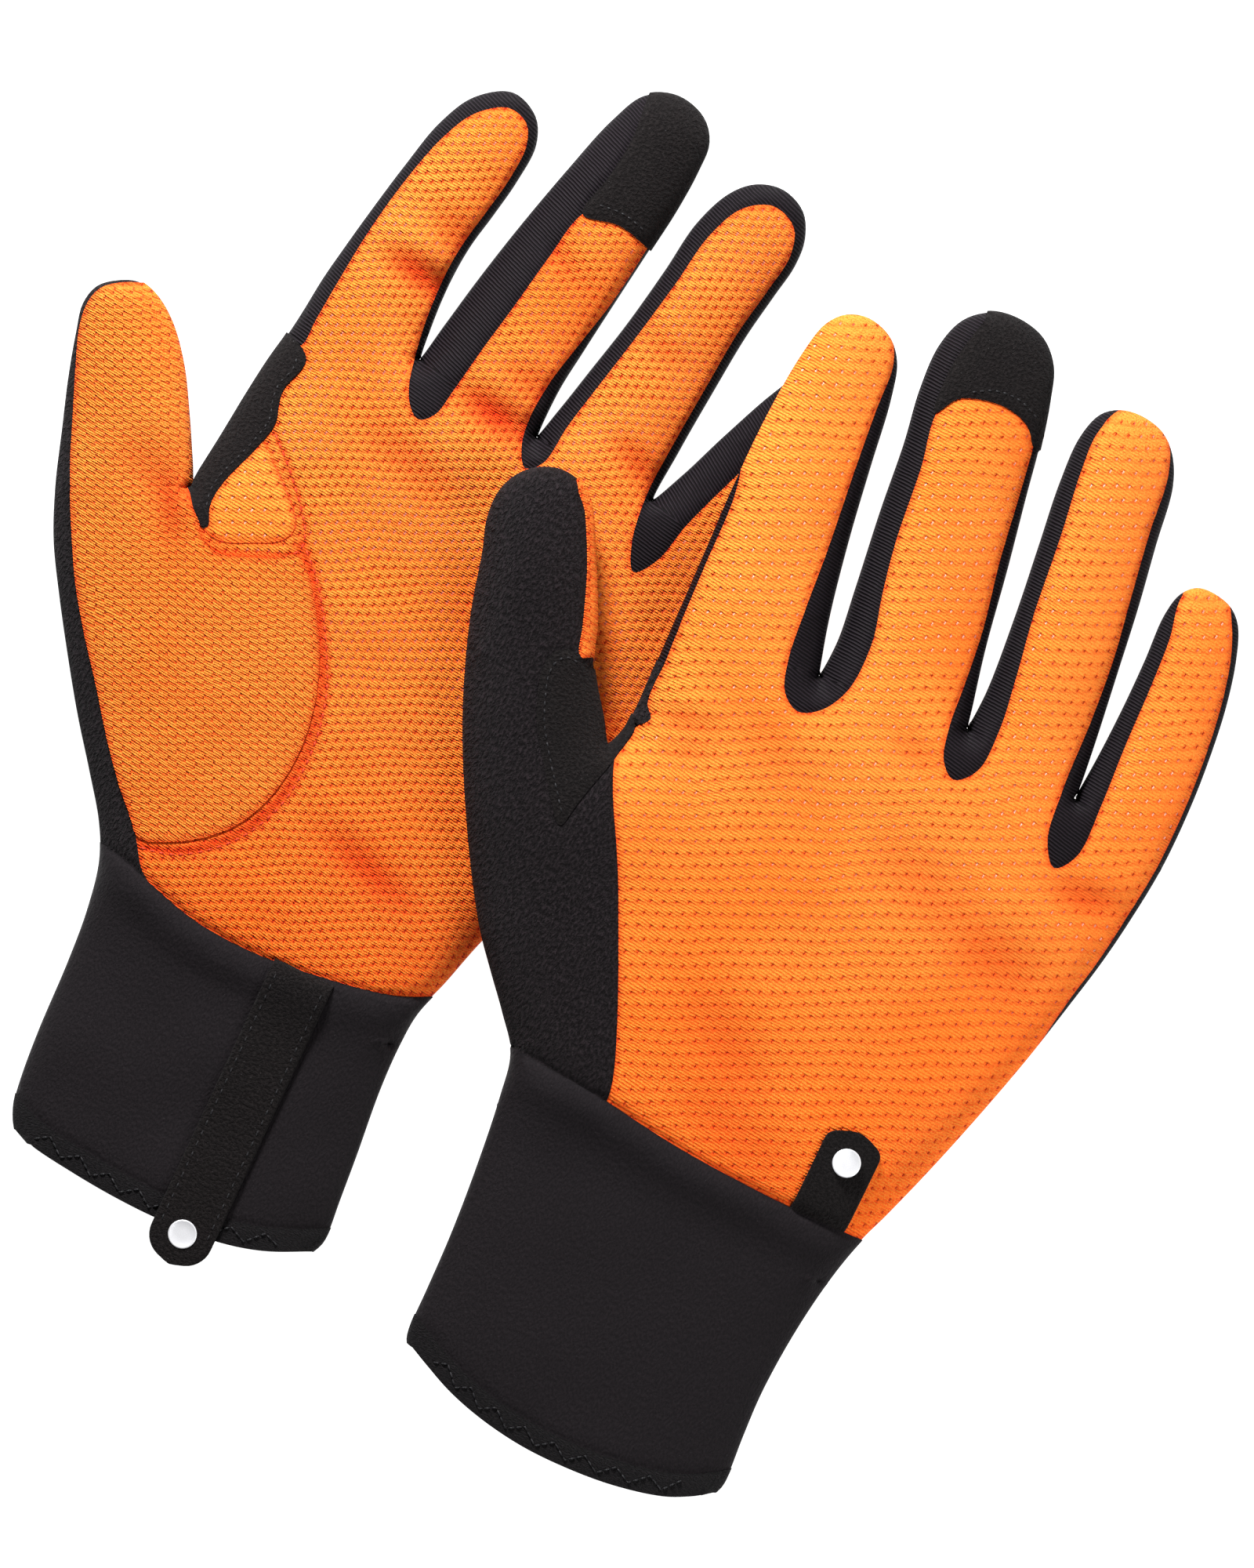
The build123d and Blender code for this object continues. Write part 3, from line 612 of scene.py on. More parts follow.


# Folds of the top face: start, end, width and depth. The depth also sets the painted shade in each fold.
CREASES = {
    "left": [
        ((-71, 76.4), (-55, 73), 2.8, 2.0), ((-66, 88), (-52, 82), 3.2, 0.8),
        ((-46, 57), (-29, 54), 3.2, 2.1), ((-40, 66), (-26, 62), 3, 0.8), ((-27, 24), (-8, 2), 5, 1.1),
        ((-34, -33.6), (-10, -41), 3.6, 1.6), ((-60, 44), (-36, 36), 5, 0.9),
        ((-92, 19), (-84, 4), 3.4, 1.3), ((-14, 62), (-2, 56), 2.6, 1.1),
        ((-104, 20), (-88, 14), 5, 0.8), ((-46, 108), (-36, 84), 3, 0.4),
        ((-22, 30), (4, 22), 3.0, 1.3), ((-44, 92), (-30, 86), 2.6, 0.8), ((-18, 84), (-6, 80), 3, 0.6),
    ],
    "right": [
        ((102, 17), (117, 18.6), 3.2, 1.2), ((88, 2), (110, -4), 6, 0.8),
        ((15, 15.4), (28, 17.4), 2.2, 1.0), ((18, 9), (30, 13), 2.4, 0.6),
        ((44, -30), (70, -50), 7, 0.8), ((64, 12), (92, 2), 7, 0.6), ((16, -52), (28, -60), 3, 0.8),
        ((50, -52), (80, -58), 5, 0.7), ((26, 24), (50, 14), 6, 0.5), ((60, 32), (72, 28), 3, 0.6),
    ],
}


def heights(glove, verts, bulge, seam_points):
    """Heights of the top and the bottom face above the bench plane, and each point's painted shade: in creases,
    along seams and, on the palm, in a painted shadow band beside the lobe's stitch row.
    """
    x, y = verts[:, 0], verts[:, 1]
    floor = floor_of(glove, verts)
    little = little_side(glove, verts)
    edge = EDGE_HEIGHT - EDGE_DROP * little
    in_cuff = ramp(-y, 54, 76)
    gap = nearest(verts, seam_points)

    top = edge + PUFF * (1 - 0.36 * little) * (1 - 0.26 * in_cuff) * bulge
    top += 0.34 * waves(verts, 5 if glove["palm_up"] else 9, 22) * ramp(bulge, 2, 8)
    painted_fold_shade = np.zeros(len(verts))
    for start, end, width, depth in CREASES[glove["side"]]:
        inner = ramp(bulge, 1, 6)
        dent = depth * crease(verts, start, end, width) * inner
        painted_fold_shade += dent
        top -= dent
        shift = np.array([0, width * 1.7])
        top += 0.45 * depth * crease(verts, np.array(start) + shift, np.array(end) + shift, width) * inner
    top -= 0.42 * bump_at(gap, SEAM_WIDTH) * ramp(bulge, 0.5, 3)
    seam = smooth(glove["seam"])
    below = np.interp(x, seam[:, 0], seam[:, 1]) - y
    top += 0.9 * bump_at(below - 4, 3.4) * ramp(bulge, 0.5, 5)
    top -= 0.8 * bump_at(below, 1.3) * ramp(bulge, 0.5, 5)

    room = edge - floor
    share = bulge * 0.95 / np.maximum(room, 1)
    bottom = edge - room * share / (1 + share ** 5) ** 0.2
    bottom += 0.12 * (1 + waves(verts, 3, 30)) * ramp(bulge, 2, 8)
    bottom += 0.35 * bump_at(gap, SEAM_WIDTH) * ramp(bulge, 0.5, 3)
    # Painted shade: half the depth of the creases, and a dark line along every seam where shade falls.
    painted_fold_shade = np.clip(0.5 * painted_fold_shade + 0.7 * bump_at(gap, 0.7), 0, 1)
    # A painted shadow band just beside the lobe's stitch row, where the lobe's raised edge casts shade.
    if glove["palm_up"]:
        gap_to_lobe_shadow = nearest(verts, smooth(glove["rows"]["lobe"]) - np.array([1.2, -0.3]))
        painted_fold_shade = np.maximum(painted_fold_shade, bump_at(gap_to_lobe_shadow, 1.3) * 0.95)
    return top, np.maximum(bottom, floor), painted_fold_shade


def press_under(glove, verts, top):
    """The top face kept below the underside of the glove that lies on it."""
    if not glove["palm_up"]:
        return top
    origin, rows = bench_of(RIGHT)
    lid = origin[2] - verts[:, 0] * (-rows[0][2]) / rows[0][0] - 1.3
    over = ramp(verts[:, 0], -50, -34)
    slack = lid + (1 - over) * 20 - top
    return top + 0.5 * (slack - np.sqrt(slack ** 2 + 0.8))


def edges_of(face):
    """A triangle's three edges, each as its two points."""
    a, b, c = face
    return (a, b), (b, c), (c, a)


def grouped(faces, blocked):
    """A number for each face: faces get the same one when they join without crossing a blocked edge."""
    parent = list(range(len(faces)))

    def find(i):
        while parent[i] != i:
            parent[i] = parent[parent[i]]
            i = parent[i]
        return i

    owner = {}
    for number, face in enumerate(faces.tolist()):
        for key in map(tuple, map(sorted, edges_of(face))):
            if key in blocked:
                continue
            if key in owner:
                parent[find(number)] = find(owner[key])
            else:
                owner[key] = number
    return np.array([find(i) for i in range(len(faces))])


def digit_zones(glove, verts, faces, ends):
    """Which digit each face belongs to, or the hand."""
    blocked = set()
    for start, end in ends.values():
        length = np.linalg.norm(end - start)
        along = (end - start) / length
        off = (verts - start) @ np.array([-along[1], along[0]])
        t = (verts - start) @ along
        on = (np.abs(off) < 2e-3) & (t > -0.05) & (t < length + 0.05)
        for face in faces[on[faces].sum(1) == 2].tolist():
            blocked.add(tuple(sorted(v for v in face if on[v])))
    group = grouped(faces, blocked)
    centres = verts[faces].mean(1)
    zone = np.full(len(faces), "hand", dtype="U8")
    for digit, (start, end) in ends.items():
        probe = (start + end) / 2 + digit_axis(glove, digit)[1] * 14
        number = group[np.argmin(np.linalg.norm(centres - probe, axis=1))]
        zone[group == number] = digit
    return zone


def finger_faces(glove, margin):
    """A region along each finger, in from its outline by margin, that runs on into the hand."""
    regions = {}
    for digit in DIGITS:
        base, heading = digit_axis(glove, digit)
        off = smooth(glove["outline"][digit]) - base
        across = np.array([heading[1], -heading[0]])
        s, t = off @ heading, off @ across
        curve = base + np.outer(np.minimum(s, s.max() - margin), heading)
        curve = curve + np.outer(t - np.sign(t) * margin, across)
        back = 14 if digit != "thumb" else 6
        regions[digit] = np.vstack([curve, curve[-1] - heading * back, curve[0] - heading * back])
    return regions


def seams_between(verts, faces, piece):
    """Points along the edges where two different cloths meet."""
    cloth = {name: cloth_of(name) for name in set(piece.tolist())}
    owner, out = {}, []
    for face, name in zip(faces.tolist(), piece.tolist()):
        for a, b in edges_of(face):
            key = (a, b) if a < b else (b, a)
            if key in owner and cloth[owner[key]] != cloth[name]:
                out += [verts[a], (verts[a] + verts[b]) / 2]
            owner[key] = name
    return np.array(out)


def drawn_regions(glove):
    """The closed curves round the pieces of the top and of the bottom face, in plan."""
    top = {}
    for name, points in glove["top"].items():
        top[name] = smooth(seen(glove, points, TOP_HEIGHT), closed=True)
    fingers = finger_faces(glove, FINGER_MARGIN)
    if glove["palm_up"]:
        fingers.pop("thumb")
    bottom = {f"finger_{name}": region for name, region in fingers.items()}
    for name, key in (("hand", "bottom_hand"), ("fleece", "fleece_bottom"), ("tongue", "tongue_below")):
        if key in glove:
            bottom[name] = smooth(glove[key], closed=True)
    return {"top": top, "bottom": bottom}


def name_pieces(glove, level, centres, zone, member, ends):
    """The sewn piece that each triangle is in, above the cuff. member says which regions it lies in."""
    side = "palm" if glove["palm_up"] == (level == "top") else "back"
    piece = np.full(len(centres), "", dtype="U24")

    def claim(name, *where):
        piece[np.logical_and.reduce(where)] = name

    for digit in DIGITS:
        here = zone == digit
        orange = member.get("orange", member.get(f"finger_{digit}", np.zeros(len(centres), bool)))
        if digit == "thumb":
            claim("thumb_back", here)
            claim("thumb_palm", here, member.get("sliver", orange))
            if level == "top" and not glove["palm_up"]:
                claim("web_patch", here, member["web_patch"])
        else:
            claim(f"{digit}_sidewall", here)
            claim(f"{digit}_{side}", here, orange)
        if digit == "middle" and level == "top":
            claim("middle_cap", here, member["cap"])
        elif digit == "middle":
            base, heading = digit_axis(glove, digit)
            along = (centres - base) @ heading
            cap_start = along[here].max() - (28 if glove["palm_up"] else 19)
            claim("middle_cap", here, along > cap_start, orange)

    x, y = centres[:, 0], centres[:, 1]
    here = zone == "hand"
    low_x = x < (ends["thumb"][1][0] + ends["pinky"][1][0]) / 2
    claim("finger_crotches", here)
    claim("side_strip", here, y < ends["pinky"][1][1] - 7, ~low_x)
    claim("gusset", here, low_x, y < ends["index"][1][1] - 11)
    if level == "top":
        layers = {"orange": f"{side}_panel", "thenar": "thenar_panel", "tongue": "web_tongue"}
        layers["web_patch"] = "web_patch"
    else:
        hand = [member[name] for name in member if name == "hand" or name.startswith("finger")]
        claim(f"{side}_panel", here, np.any(hand, axis=0))
        layers = {"fleece": "gusset", "finger_thumb": "thenar_panel", "tongue": "web_tongue"}
    for region, name in layers.items():
        if region in member:
            claim(name, here, member[region])
    return piece


def skin_of(glove):
    """Both faces of a glove as one closed skin: points, triangles, and each triangle's sewn piece."""
    outline, ends = outline_of(glove)
    splits = []
    for start, end in ends.values():
        splits.append(np.linspace(start, end, max(3, int(np.linalg.norm(end - start) / OUTLINE_STEP))))
    seam = smooth(glove["seam"])
    rows = [smooth(row) for row in glove["rows"].values()]
    regions = drawn_regions(glove)
    hems = {level: smooth(glove[f"hem_{level}"]) for level in regions}
    curves = {}
    for level, hem in hems.items():
        curves[level] = [np.vstack([region, region[:1]]) for region in regions[level].values()]
        curves[level] += (rows if level == "top" else []) + [seam, hem, hem + np.array([0, HEM_WIDTH])]
    outline = with_crossings(outline, curves["top"] + curves["bottom"])
    count = len(outline)

    levels = {}
    for level, hem in hems.items():
        verts, faces = fill(outline, curves[level] + splits)
        zone = digit_zones(glove, verts, faces, ends)
        centres = verts[faces].mean(1)
        member = {name: inside(centres, region) for name, region in regions[level].items()}
        piece = name_pieces(glove, level, centres, zone, member, ends)
        hem_y = np.interp(centres[:, 0], hem[:, 0], hem[:, 1])
        piece[centres[:, 1] < np.interp(centres[:, 0], seam[:, 0], seam[:, 1])] = "cuff"
        piece[centres[:, 1] < hem_y + HEM_WIDTH] = "hem_binding"
        marks = np.vstack([seams_between(verts, faces, piece)] + (rows if level == "top" else []))
        top, bottom, painted_fold_shade = heights(glove, verts, puff(verts, faces, count), marks)
        z = press_under(glove, verts, top) if level == "top" else bottom
        rim = EDGE_HEIGHT - EDGE_DROP * little_side(glove, verts)
        reach = 0.1 + 3.8 * np.sqrt(nearest(verts, outline))
        z = np.clip(z, rim - reach, rim + reach)
        z[:count] = rim[:count]
        keep = centres[:, 1] > hem_y
        levels[level] = {"verts": verts, "z": z, "painted_fold_shade": painted_fold_shade, "faces": faces[keep], "piece": piece[keep]}

    upper, lower = levels["top"], levels["bottom"]
    shift = len(upper["verts"]) - count
    lower_faces = np.where(lower["faces"] >= count, lower["faces"] + shift, lower["faces"])[:, ::-1]
    plan = np.vstack([upper["verts"], lower["verts"][count:]])
    points = np.column_stack([plan, np.concatenate([upper["z"], lower["z"][count:]])])
    faces = np.vstack([upper["faces"], lower_faces])
    return {
        "glove": glove,
        "plan": plan,
        "points": points,
        "faces": faces,
        "painted_fold_shade": np.concatenate([upper["painted_fold_shade"], lower["painted_fold_shade"][count:]]),
        "piece": np.concatenate([upper["piece"], lower["piece"]]),
        "upper": np.arange(len(faces)) < len(upper["faces"]),
        "normals": vertex_normals(points, faces),
    }


def vertex_normals(points, faces):
    """Area-weighted normals at the points."""
    a, b, c = (points[faces[:, k]] for k in range(3))
    flat = np.cross(b - a, c - a)
    total = np.zeros_like(points)
    for k in range(3):
        np.add.at(total, faces[:, k], flat)
    return total / (np.linalg.norm(total, axis=1)[:, None] + 1e-12)


# ================================================================ meshes
def new_object(name, mesh, material, body=None):
    """Link a mesh as a piece, moving with a body when one is given."""
    piece = bpy.data.objects.new(name, mesh)
    bpy.context.scene.collection.objects.link(piece)
    mesh.materials.append(material)
    if body:
        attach(piece, body)
    return piece


def set_uv(mesh, coords):
    """One UV pair for each vertex."""
    layer = mesh.uv_layers.new(name="plan")
    corner = np.empty(len(mesh.loops), dtype=np.int32)
    mesh.loops.foreach_get("vertex_index", corner)
    layer.data.foreach_set("uv", coords[corner].astype(np.float32).ravel())


def smooth_mesh(name, glove, verts, faces, coords=None):
    """A smooth-shaded mesh from points in plan with their height, with UVs when they are given."""
    mesh = bpy.data.meshes.new(name)
    mesh.from_pydata(to_row(glove, verts).tolist(), [], faces)
    mesh.polygons.foreach_set("use_smooth", [True] * len(mesh.polygons))
    if coords is not None:
        set_uv(mesh, coords)
    return mesh


def tube(rings, around, first=0):
    """The quads between neighbouring rings of points, then the first ring and the last ring themselves."""
    quads = []
    for ring in range(rings - 1):
        for k in range(around):
            a, b = (first + ring * around + k, first + ring * around + (k + 1) % around)
            quads.append((a, b, b + around, a + around))
    start = tuple(range(first, first + around))
    return quads, start, tuple(point + (rings - 1) * around for point in start)


def cloth_mesh(name, skin, chosen, raised, thickness):
    """Triangles of the skin as cloth with thickness: an outer face, an inner face and an edge between."""
    faces = skin["faces"][chosen]
    used, local = np.unique(faces, return_inverse=True)
    local = local.reshape(faces.shape)
    normals = skin["normals"][used]
    outer = skin["points"][used] + normals * raised
    inner = skin["points"][used] - normals * (thickness - raised)
    count = len(used)
    directed = {edge: True for face in local.tolist() for edge in edges_of(face)}
    quads = [(b, a, a + count, b + count) for a, b in directed if (b, a) not in directed]
    polygons = local.tolist() + (local[:, ::-1] + count).tolist() + quads
    mesh = smooth_mesh(name, skin["glove"], np.vstack([outer, inner]), polygons)

    world = normals @ bench_of(skin["glove"])[1]
    corners = np.zeros((len(mesh.loops), 3), np.float32)
    corners[:faces.size] = world[local.ravel()]
    corners[faces.size:2 * faces.size] = -world[local[:, ::-1].ravel()]
    mesh.normals_split_custom_set(corners.tolist())
    # The painted shade of each point, in creases and along seams, for the knit's colour.
    painted_fold_shade = mesh.attributes.new("painted_fold_shade", "FLOAT", "POINT")
    painted_fold_shade.data.foreach_set("value", np.tile(skin["painted_fold_shade"][used], 2).astype(np.float32))
    return mesh, np.vstack([skin["plan"][used]] * 2)


# ================================================================ materials
class Value:
    """A node's output that +, -, * and / work on, each by adding a Math node."""

    def __init__(self, nodes, socket):
        self.nodes = nodes
        self.socket = socket

    def __add__(self, other):
        return self.nodes.math("ADD", self, other)

    def __sub__(self, other):
        return self.nodes.math("SUBTRACT", self, other)

    def __rsub__(self, other):
        return self.nodes.math("SUBTRACT", other, self)

    def __mul__(self, other):
        return self.nodes.math("MULTIPLY", self, other)

    def __truediv__(self, other):
        return self.nodes.math("DIVIDE", self, other)


class Nodes:
    """Short names for building a material's node tree."""

    def __init__(self, name):
        self.material = bpy.data.materials.new(name)
        self.material.use_nodes = True
        self.tree = self.material.node_tree
        self.tree.nodes.clear()
        out = self.tree.nodes.new("ShaderNodeOutputMaterial")
        self.shader = self.tree.nodes.new("ShaderNodeBsdfPrincipled")
        self.tree.links.new(self.shader.outputs[0], out.inputs[0])

    def link(self, value, socket):
        if isinstance(value, Value):
            self.tree.links.new(value.socket, socket)
        else:
            socket.default_value = value

    def add(self, kind, inputs, output=0, **settings):
        """A new node with its settings and inputs, which are given by number or name. Returns one output."""
        node = self.tree.nodes.new(f"ShaderNode{kind}")
        for setting, value in settings.items():
            setattr(node, setting, value)
        for key, value in inputs.items():
            self.link(value, node.inputs[key])
        return Value(self, node.outputs[output])

    def math(self, operation, *values, clamp=False):
        return self.add("Math", dict(enumerate(values)), operation=operation, use_clamp=clamp)

    def uv(self):
        return self.add("UVMap", {}, uv_map="plan")

    def attribute(self, name):
        return self.add("Attribute", {}, "Fac", attribute_name=name)

    def turned(self, vector, degrees_):
        inputs = {"Angle": radians(degrees_), "Vector": vector}
        return self.add("VectorRotate", inputs, rotation_type="Z_AXIS")

    def scaled(self, vector, x, y):
        return self.add("VectorMath", {0: vector, 1: (x, y, 1)}, operation="MULTIPLY")

    def split(self, vector):
        x = self.add("SeparateXYZ", {0: vector})
        return x, Value(self, x.socket.node.outputs[1])

    def noise(self, vector, scale, detail=2.0, rough=0.5):
        return self.add("TexNoise", {"Vector": vector, "Scale": scale, "Detail": detail, "Roughness": rough})

    def ramp(self, value, low, high):
        return self.add("MapRange", {0: value, 1: low, 2: high}, interpolation_type="SMOOTHSTEP")

    def mix(self, factor, a, b):
        """A mix of two colours, each a value or a red, green and blue."""
        a, b = (colour if isinstance(colour, Value) else (*colour, 1) for colour in (a, b))
        return self.add("Mix", {0: factor, 6: a, 7: b}, 2, data_type="RGBA")

    def wave(self, x, y, per_x, per_y, wobble=None):
        """A sine wave from 0 to 1 whose phase, in turns, grows by per_x and per_y a millimetre."""
        phase = x * (2 * pi * per_x) + y * (2 * pi * per_y)
        if wobble is not None:
            phase = phase + wobble
        return self.math("MULTIPLY_ADD", self.math("SINE", phase), 0.5, 0.5)

    def finish(self, colour, height, depth, **settings):
        """The material with its colour, a bump of this height and depth in metres, and its settings."""
        self.link(colour, self.shader.inputs["Base Color"])
        for name, value in settings.items():
            self.shader.inputs[SHADER_SOCKETS[name]].default_value = value
        normal = self.add("Bump", {"Strength": 1.0, "Distance": depth, "Height": height})
        self.link(normal, self.shader.inputs["Normal"])
        return self.material


SHADER_SOCKETS = {
    "rough": "Roughness",
    "specular": "Specular IOR Level",
    "metal": "Metallic",
    "sheen": "Sheen Weight",
    "sheen_rough": "Sheen Roughness",
}


def knit_material(name, pitch, row, hole_size, yarn_gap, slant, groove, depth, pale_share, painted_shade_to_cuff):
    """Orange mesh knit: staggered perforations in rows, slanted yarn between them, uneven dye in broad patches,
    and painted shade between the yarns, under each row, round and in the perforations and in creases.
    slant: how far each loop's row drops along its length. groove: strength of the line under each row, in the
    bump and
    in its painted shade. depth: the bump's height in metres. pale_share: how far the perforations show a pale
    lining, only where painted light falls. painted_shade_to_cuff: how far the colour is painted darker towards
    the cuff, as painted shade, against painted light towards the fingers."""
    n = Nodes(name)
    plain = n.uv()
    # Painted shade in creases and along seams, stored on the mesh.
    painted_fold_shade = n.attribute("painted_fold_shade")
    uv = n.turned(plain, -PHOTO_TURN)
    x, y = n.split(uv)
    y = y + (n.noise(uv, 0.05, 1.0) - 0.5) * 3.0
    ragged = n.noise(uv, 1.3, 2.0) * 0.5

    saw = n.math("FRACT", x * (2 / pitch))
    line = y / row + saw * slant
    shifted = line + 0.5
    odd = n.math("ABSOLUTE", n.math("MODULO", n.math("FLOOR", shifted), 2.0))
    along = n.math("FRACT", n.math("MULTIPLY_ADD", odd, 0.5, x / pitch))
    u = (along - 0.5) * pitch
    v = (n.math("FRACT", shifted) - 0.5) * row
    gap = n.math("SQRT", u * u + v * v * 1.4)
    hole = n.ramp(gap, hole_size, hole_size * 0.4)
    dimple = n.ramp(gap, hole_size * 2.4, 0.0)
    lip = n.ramp(n.math("FRACT", line + ragged), 0.42, 0.0)
    yarn = n.wave(x, y, 0.5 / yarn_gap, 0.87 / yarn_gap, n.noise(uv, 0.8, 2.0) * 3.0)
    fuzz = n.noise(uv, 2.6, 3.0, 0.7)
    patch = n.noise(plain, 0.03, 2.0)

    near = n.split(plain)[1]
    # Painted light towards the fingers and painted shade towards the cuff, by position along the glove.
    painted_light_to_fingers = n.math("MULTIPLY_ADD", n.ramp(near, -70, 30), painted_shade_to_cuff, 1.0 - painted_shade_to_cuff)
    # The yarn's colour follows its relief: painted shade between the yarns, painted light on them.
    base = n.mix(yarn, (0.94, 0.068, 0.003), (1.0, 0.2, 0.016))
    # Mixed in: painted light towards the fingers, lighter and darker fuzz, broad patches of uneven dye, painted
    # shade in the line under each row, in the dimples round the perforations, and the painted fold shade.
    for share, colour in (
        (painted_light_to_fingers * 0.7, (1.0, 0.275, 0.038)),
        (n.ramp(fuzz, 0.42, 0.7) * 0.7, (1.0, 0.34, 0.055)),
        (n.ramp(fuzz, 0.5, 0.3) * 0.5, (0.92, 0.06, 0.003)),
        (n.ramp(patch, 0.4, 0.7) * 0.35, (1.0, 0.13, 0.006)),
        (lip * groove, (0.82, 0.028, 0.002)),
        (dimple * 0.5, (0.85, 0.04, 0.002)),
        (painted_fold_shade * 0.85, (0.66, 0.02, 0.002)),
    ):
        base = n.mix(share, base, colour)
    # Perforations: painted shade inside them, turning to the pale lining only where painted light falls,
    # towards the fingers and away from the painted fold shade.
    lining_and_light = n.ramp(near, -22, 22) * n.ramp(n.noise(plain, 0.06, 1.0), 0.40, 0.60)
    lining_and_light = lining_and_light * (1.0 - n.ramp(painted_fold_shade, 0.02, 0.25))
    spot = n.mix(lining_and_light * pale_share, (0.36, 0.008, 0.003), (1.0, 0.56, 0.42))
    height = yarn * 0.45 + fuzz * 0.9 - lip * (1.2 * groove) - dimple * 0.9
    return n.finish(n.mix(hole * 0.95, base, spot), height, depth, rough=0.9, specular=0.1)


def rib_material():
    """Black stretch knit with fine ribs across the finger."""
    n = Nodes("stretch_rib")
    uv = n.uv()
    x, y = n.split(uv)
    rib = n.wave(x, y, 0.3, 1.5, n.noise(uv, 0.3, 2.0) * 4.0)
    grain = n.noise(n.scaled(uv, 0.6, 2.0), 2.6, 2.0)
    tone = n.math("MULTIPLY", rib, grain + 0.35, clamp=True)
    colour = n.mix(tone, (0.0012, 0.0008, 0.001), (0.016, 0.012, 0.0155))
    return n.finish(colour, rib, 0.0002, rough=0.65, specular=0.08)


def black_cloth(name, dark, light, rough, grain, stretch, speck, sheen, depth):
    """Black brushed or smooth cloth. grain is its fineness, stretch lengthens the grain along the glove,
    speck is the share of pale fibres."""
    n = Nodes(name)
    uv = n.uv()
    fine = n.ramp(n.noise(n.scaled(uv, 1.0, stretch), grain, 3.0, 0.6), 0.34, 0.66)
    colour = n.mix(fine * 0.75 + n.noise(uv, 0.06, 2.0) * 0.25, dark, light)
    fibre = n.ramp(n.noise(uv, grain * 1.7, 1.0), 0.74, 0.80)
    colour = n.mix(fibre * speck, colour, (0.09, 0.085, 0.09))
    return n.finish(colour, fine, depth, rough=rough, specular=0.1, sheen=sheen, sheen_rough=0.45)


def thread_material(name, colour, shade):
    """Twisted sewing thread."""
    n = Nodes(name)
    ply = n.wave(*n.split(n.uv()), 1.6, 1.6)
    return n.finish(n.mix(ply, shade, colour), ply, 0.00004, rough=0.6, specular=0.2)


def badge_material():
    """Silver reflective film."""
    n = Nodes("badge")
    grain = n.noise(n.uv(), 6.0, 2.0)
    colour = n.mix(grain, (0.55, 0.55, 0.57), (0.74, 0.74, 0.76))
    return n.finish(colour, grain, 0.00003, rough=0.35, metal=0.3)


# name, pitch, row, hole_size, yarn_gap, slant, groove, depth, pale_share, painted_shade_to_cuff
KNIT_PALM = knit_material("orange_knit_palm", 2.1, 1.8, 0.42, 0.5, 0.25, 0.4, 0.0006, 0.35, 0.9)
KNIT_BACK = knit_material("orange_knit_back", 2.56, 2.5, 0.32, 0.62, 0.1, 0.3, 0.0005, 0.9, 0.9)
KNIT_LOBE = knit_material("orange_knit_lobe", 3.6, 1.5, 0.3, 0.46, 0.5, 0.62, 0.0007, 0.1, 0.2)
RIB = rib_material()
# name, dark and light colour, rough, grain, stretch, speck, sheen, depth
FLEECE, SUEDE, JERSEY, BINDING = (black_cloth(*row) for row in (
    ("fleece", (0.0016, 0.0011, 0.0013), (0.017, 0.0125, 0.0145), 0.95, 1.9, 0.5, 0.55, 0.02, 0.0007),
    ("suede", (0.0028, 0.0021, 0.0022), (0.0105, 0.0085, 0.0085), 0.95, 1.6, 1.0, 0.6, 0.02, 0.0003),
    ("cuff_jersey", (0.0045, 0.0034, 0.0042), (0.0095, 0.0072, 0.0085), 0.8, 2.4, 0.5, 0.4, 0.02, 0.0001),
    ("hem_binding", (0.002, 0.0017, 0.002), (0.0105, 0.0088, 0.0098), 0.85, 1.6, 2.2, 0.3, 0.02, 0.0004),
))
BADGE = badge_material()
RED_THREAD = thread_material("red_thread", (0.62, 0.055, 0.012), (0.33, 0.02, 0.008))
BLACK_THREAD = thread_material("black_thread", (0.02, 0.019, 0.021), (0.006, 0.006, 0.007))

# What each sewn piece is made of: record slot, material, how far it stands proud of the skin in mm.
CLOTH = {
    "palm_panel": ("orange_knit", KNIT_PALM, 0.0),
    "back_panel": ("orange_knit", KNIT_BACK, 0.0),
    "palm": ("orange_knit", KNIT_PALM, 0.0),
    "back": ("orange_knit", KNIT_BACK, 0.0),
    "thumb_palm": ("orange_knit", KNIT_LOBE, 0.5),
    "thenar_panel": ("orange_knit", KNIT_LOBE, 0.5),
    "web_tongue": ("orange_knit", KNIT_BACK, 0.25),
    "sidewall": ("stretch_rib", RIB, 0.0),
    "side_strip": ("stretch_rib", RIB, 0.0),
    "crotches": ("stretch_rib", RIB, 0.0),
    "thumb_back": ("fleece", FLEECE, 0.15),
    "gusset": ("fleece", FLEECE, 0.15),
    "web_patch": ("suede", SUEDE, 0.45),
    "cap": ("suede", SUEDE, 0.4),
    "cuff": ("cuff_jersey", JERSEY, 0.25),
    "binding": ("hem_binding", BINDING, 0.4),
}


def cloth_of(piece_name):
    """The cloth of a sewn piece, by the whole or the end of its name."""
    for key in (piece_name, piece_name.split("_")[-1]):
        if key in CLOTH:
            return CLOTH[key]
    raise KeyError(piece_name)


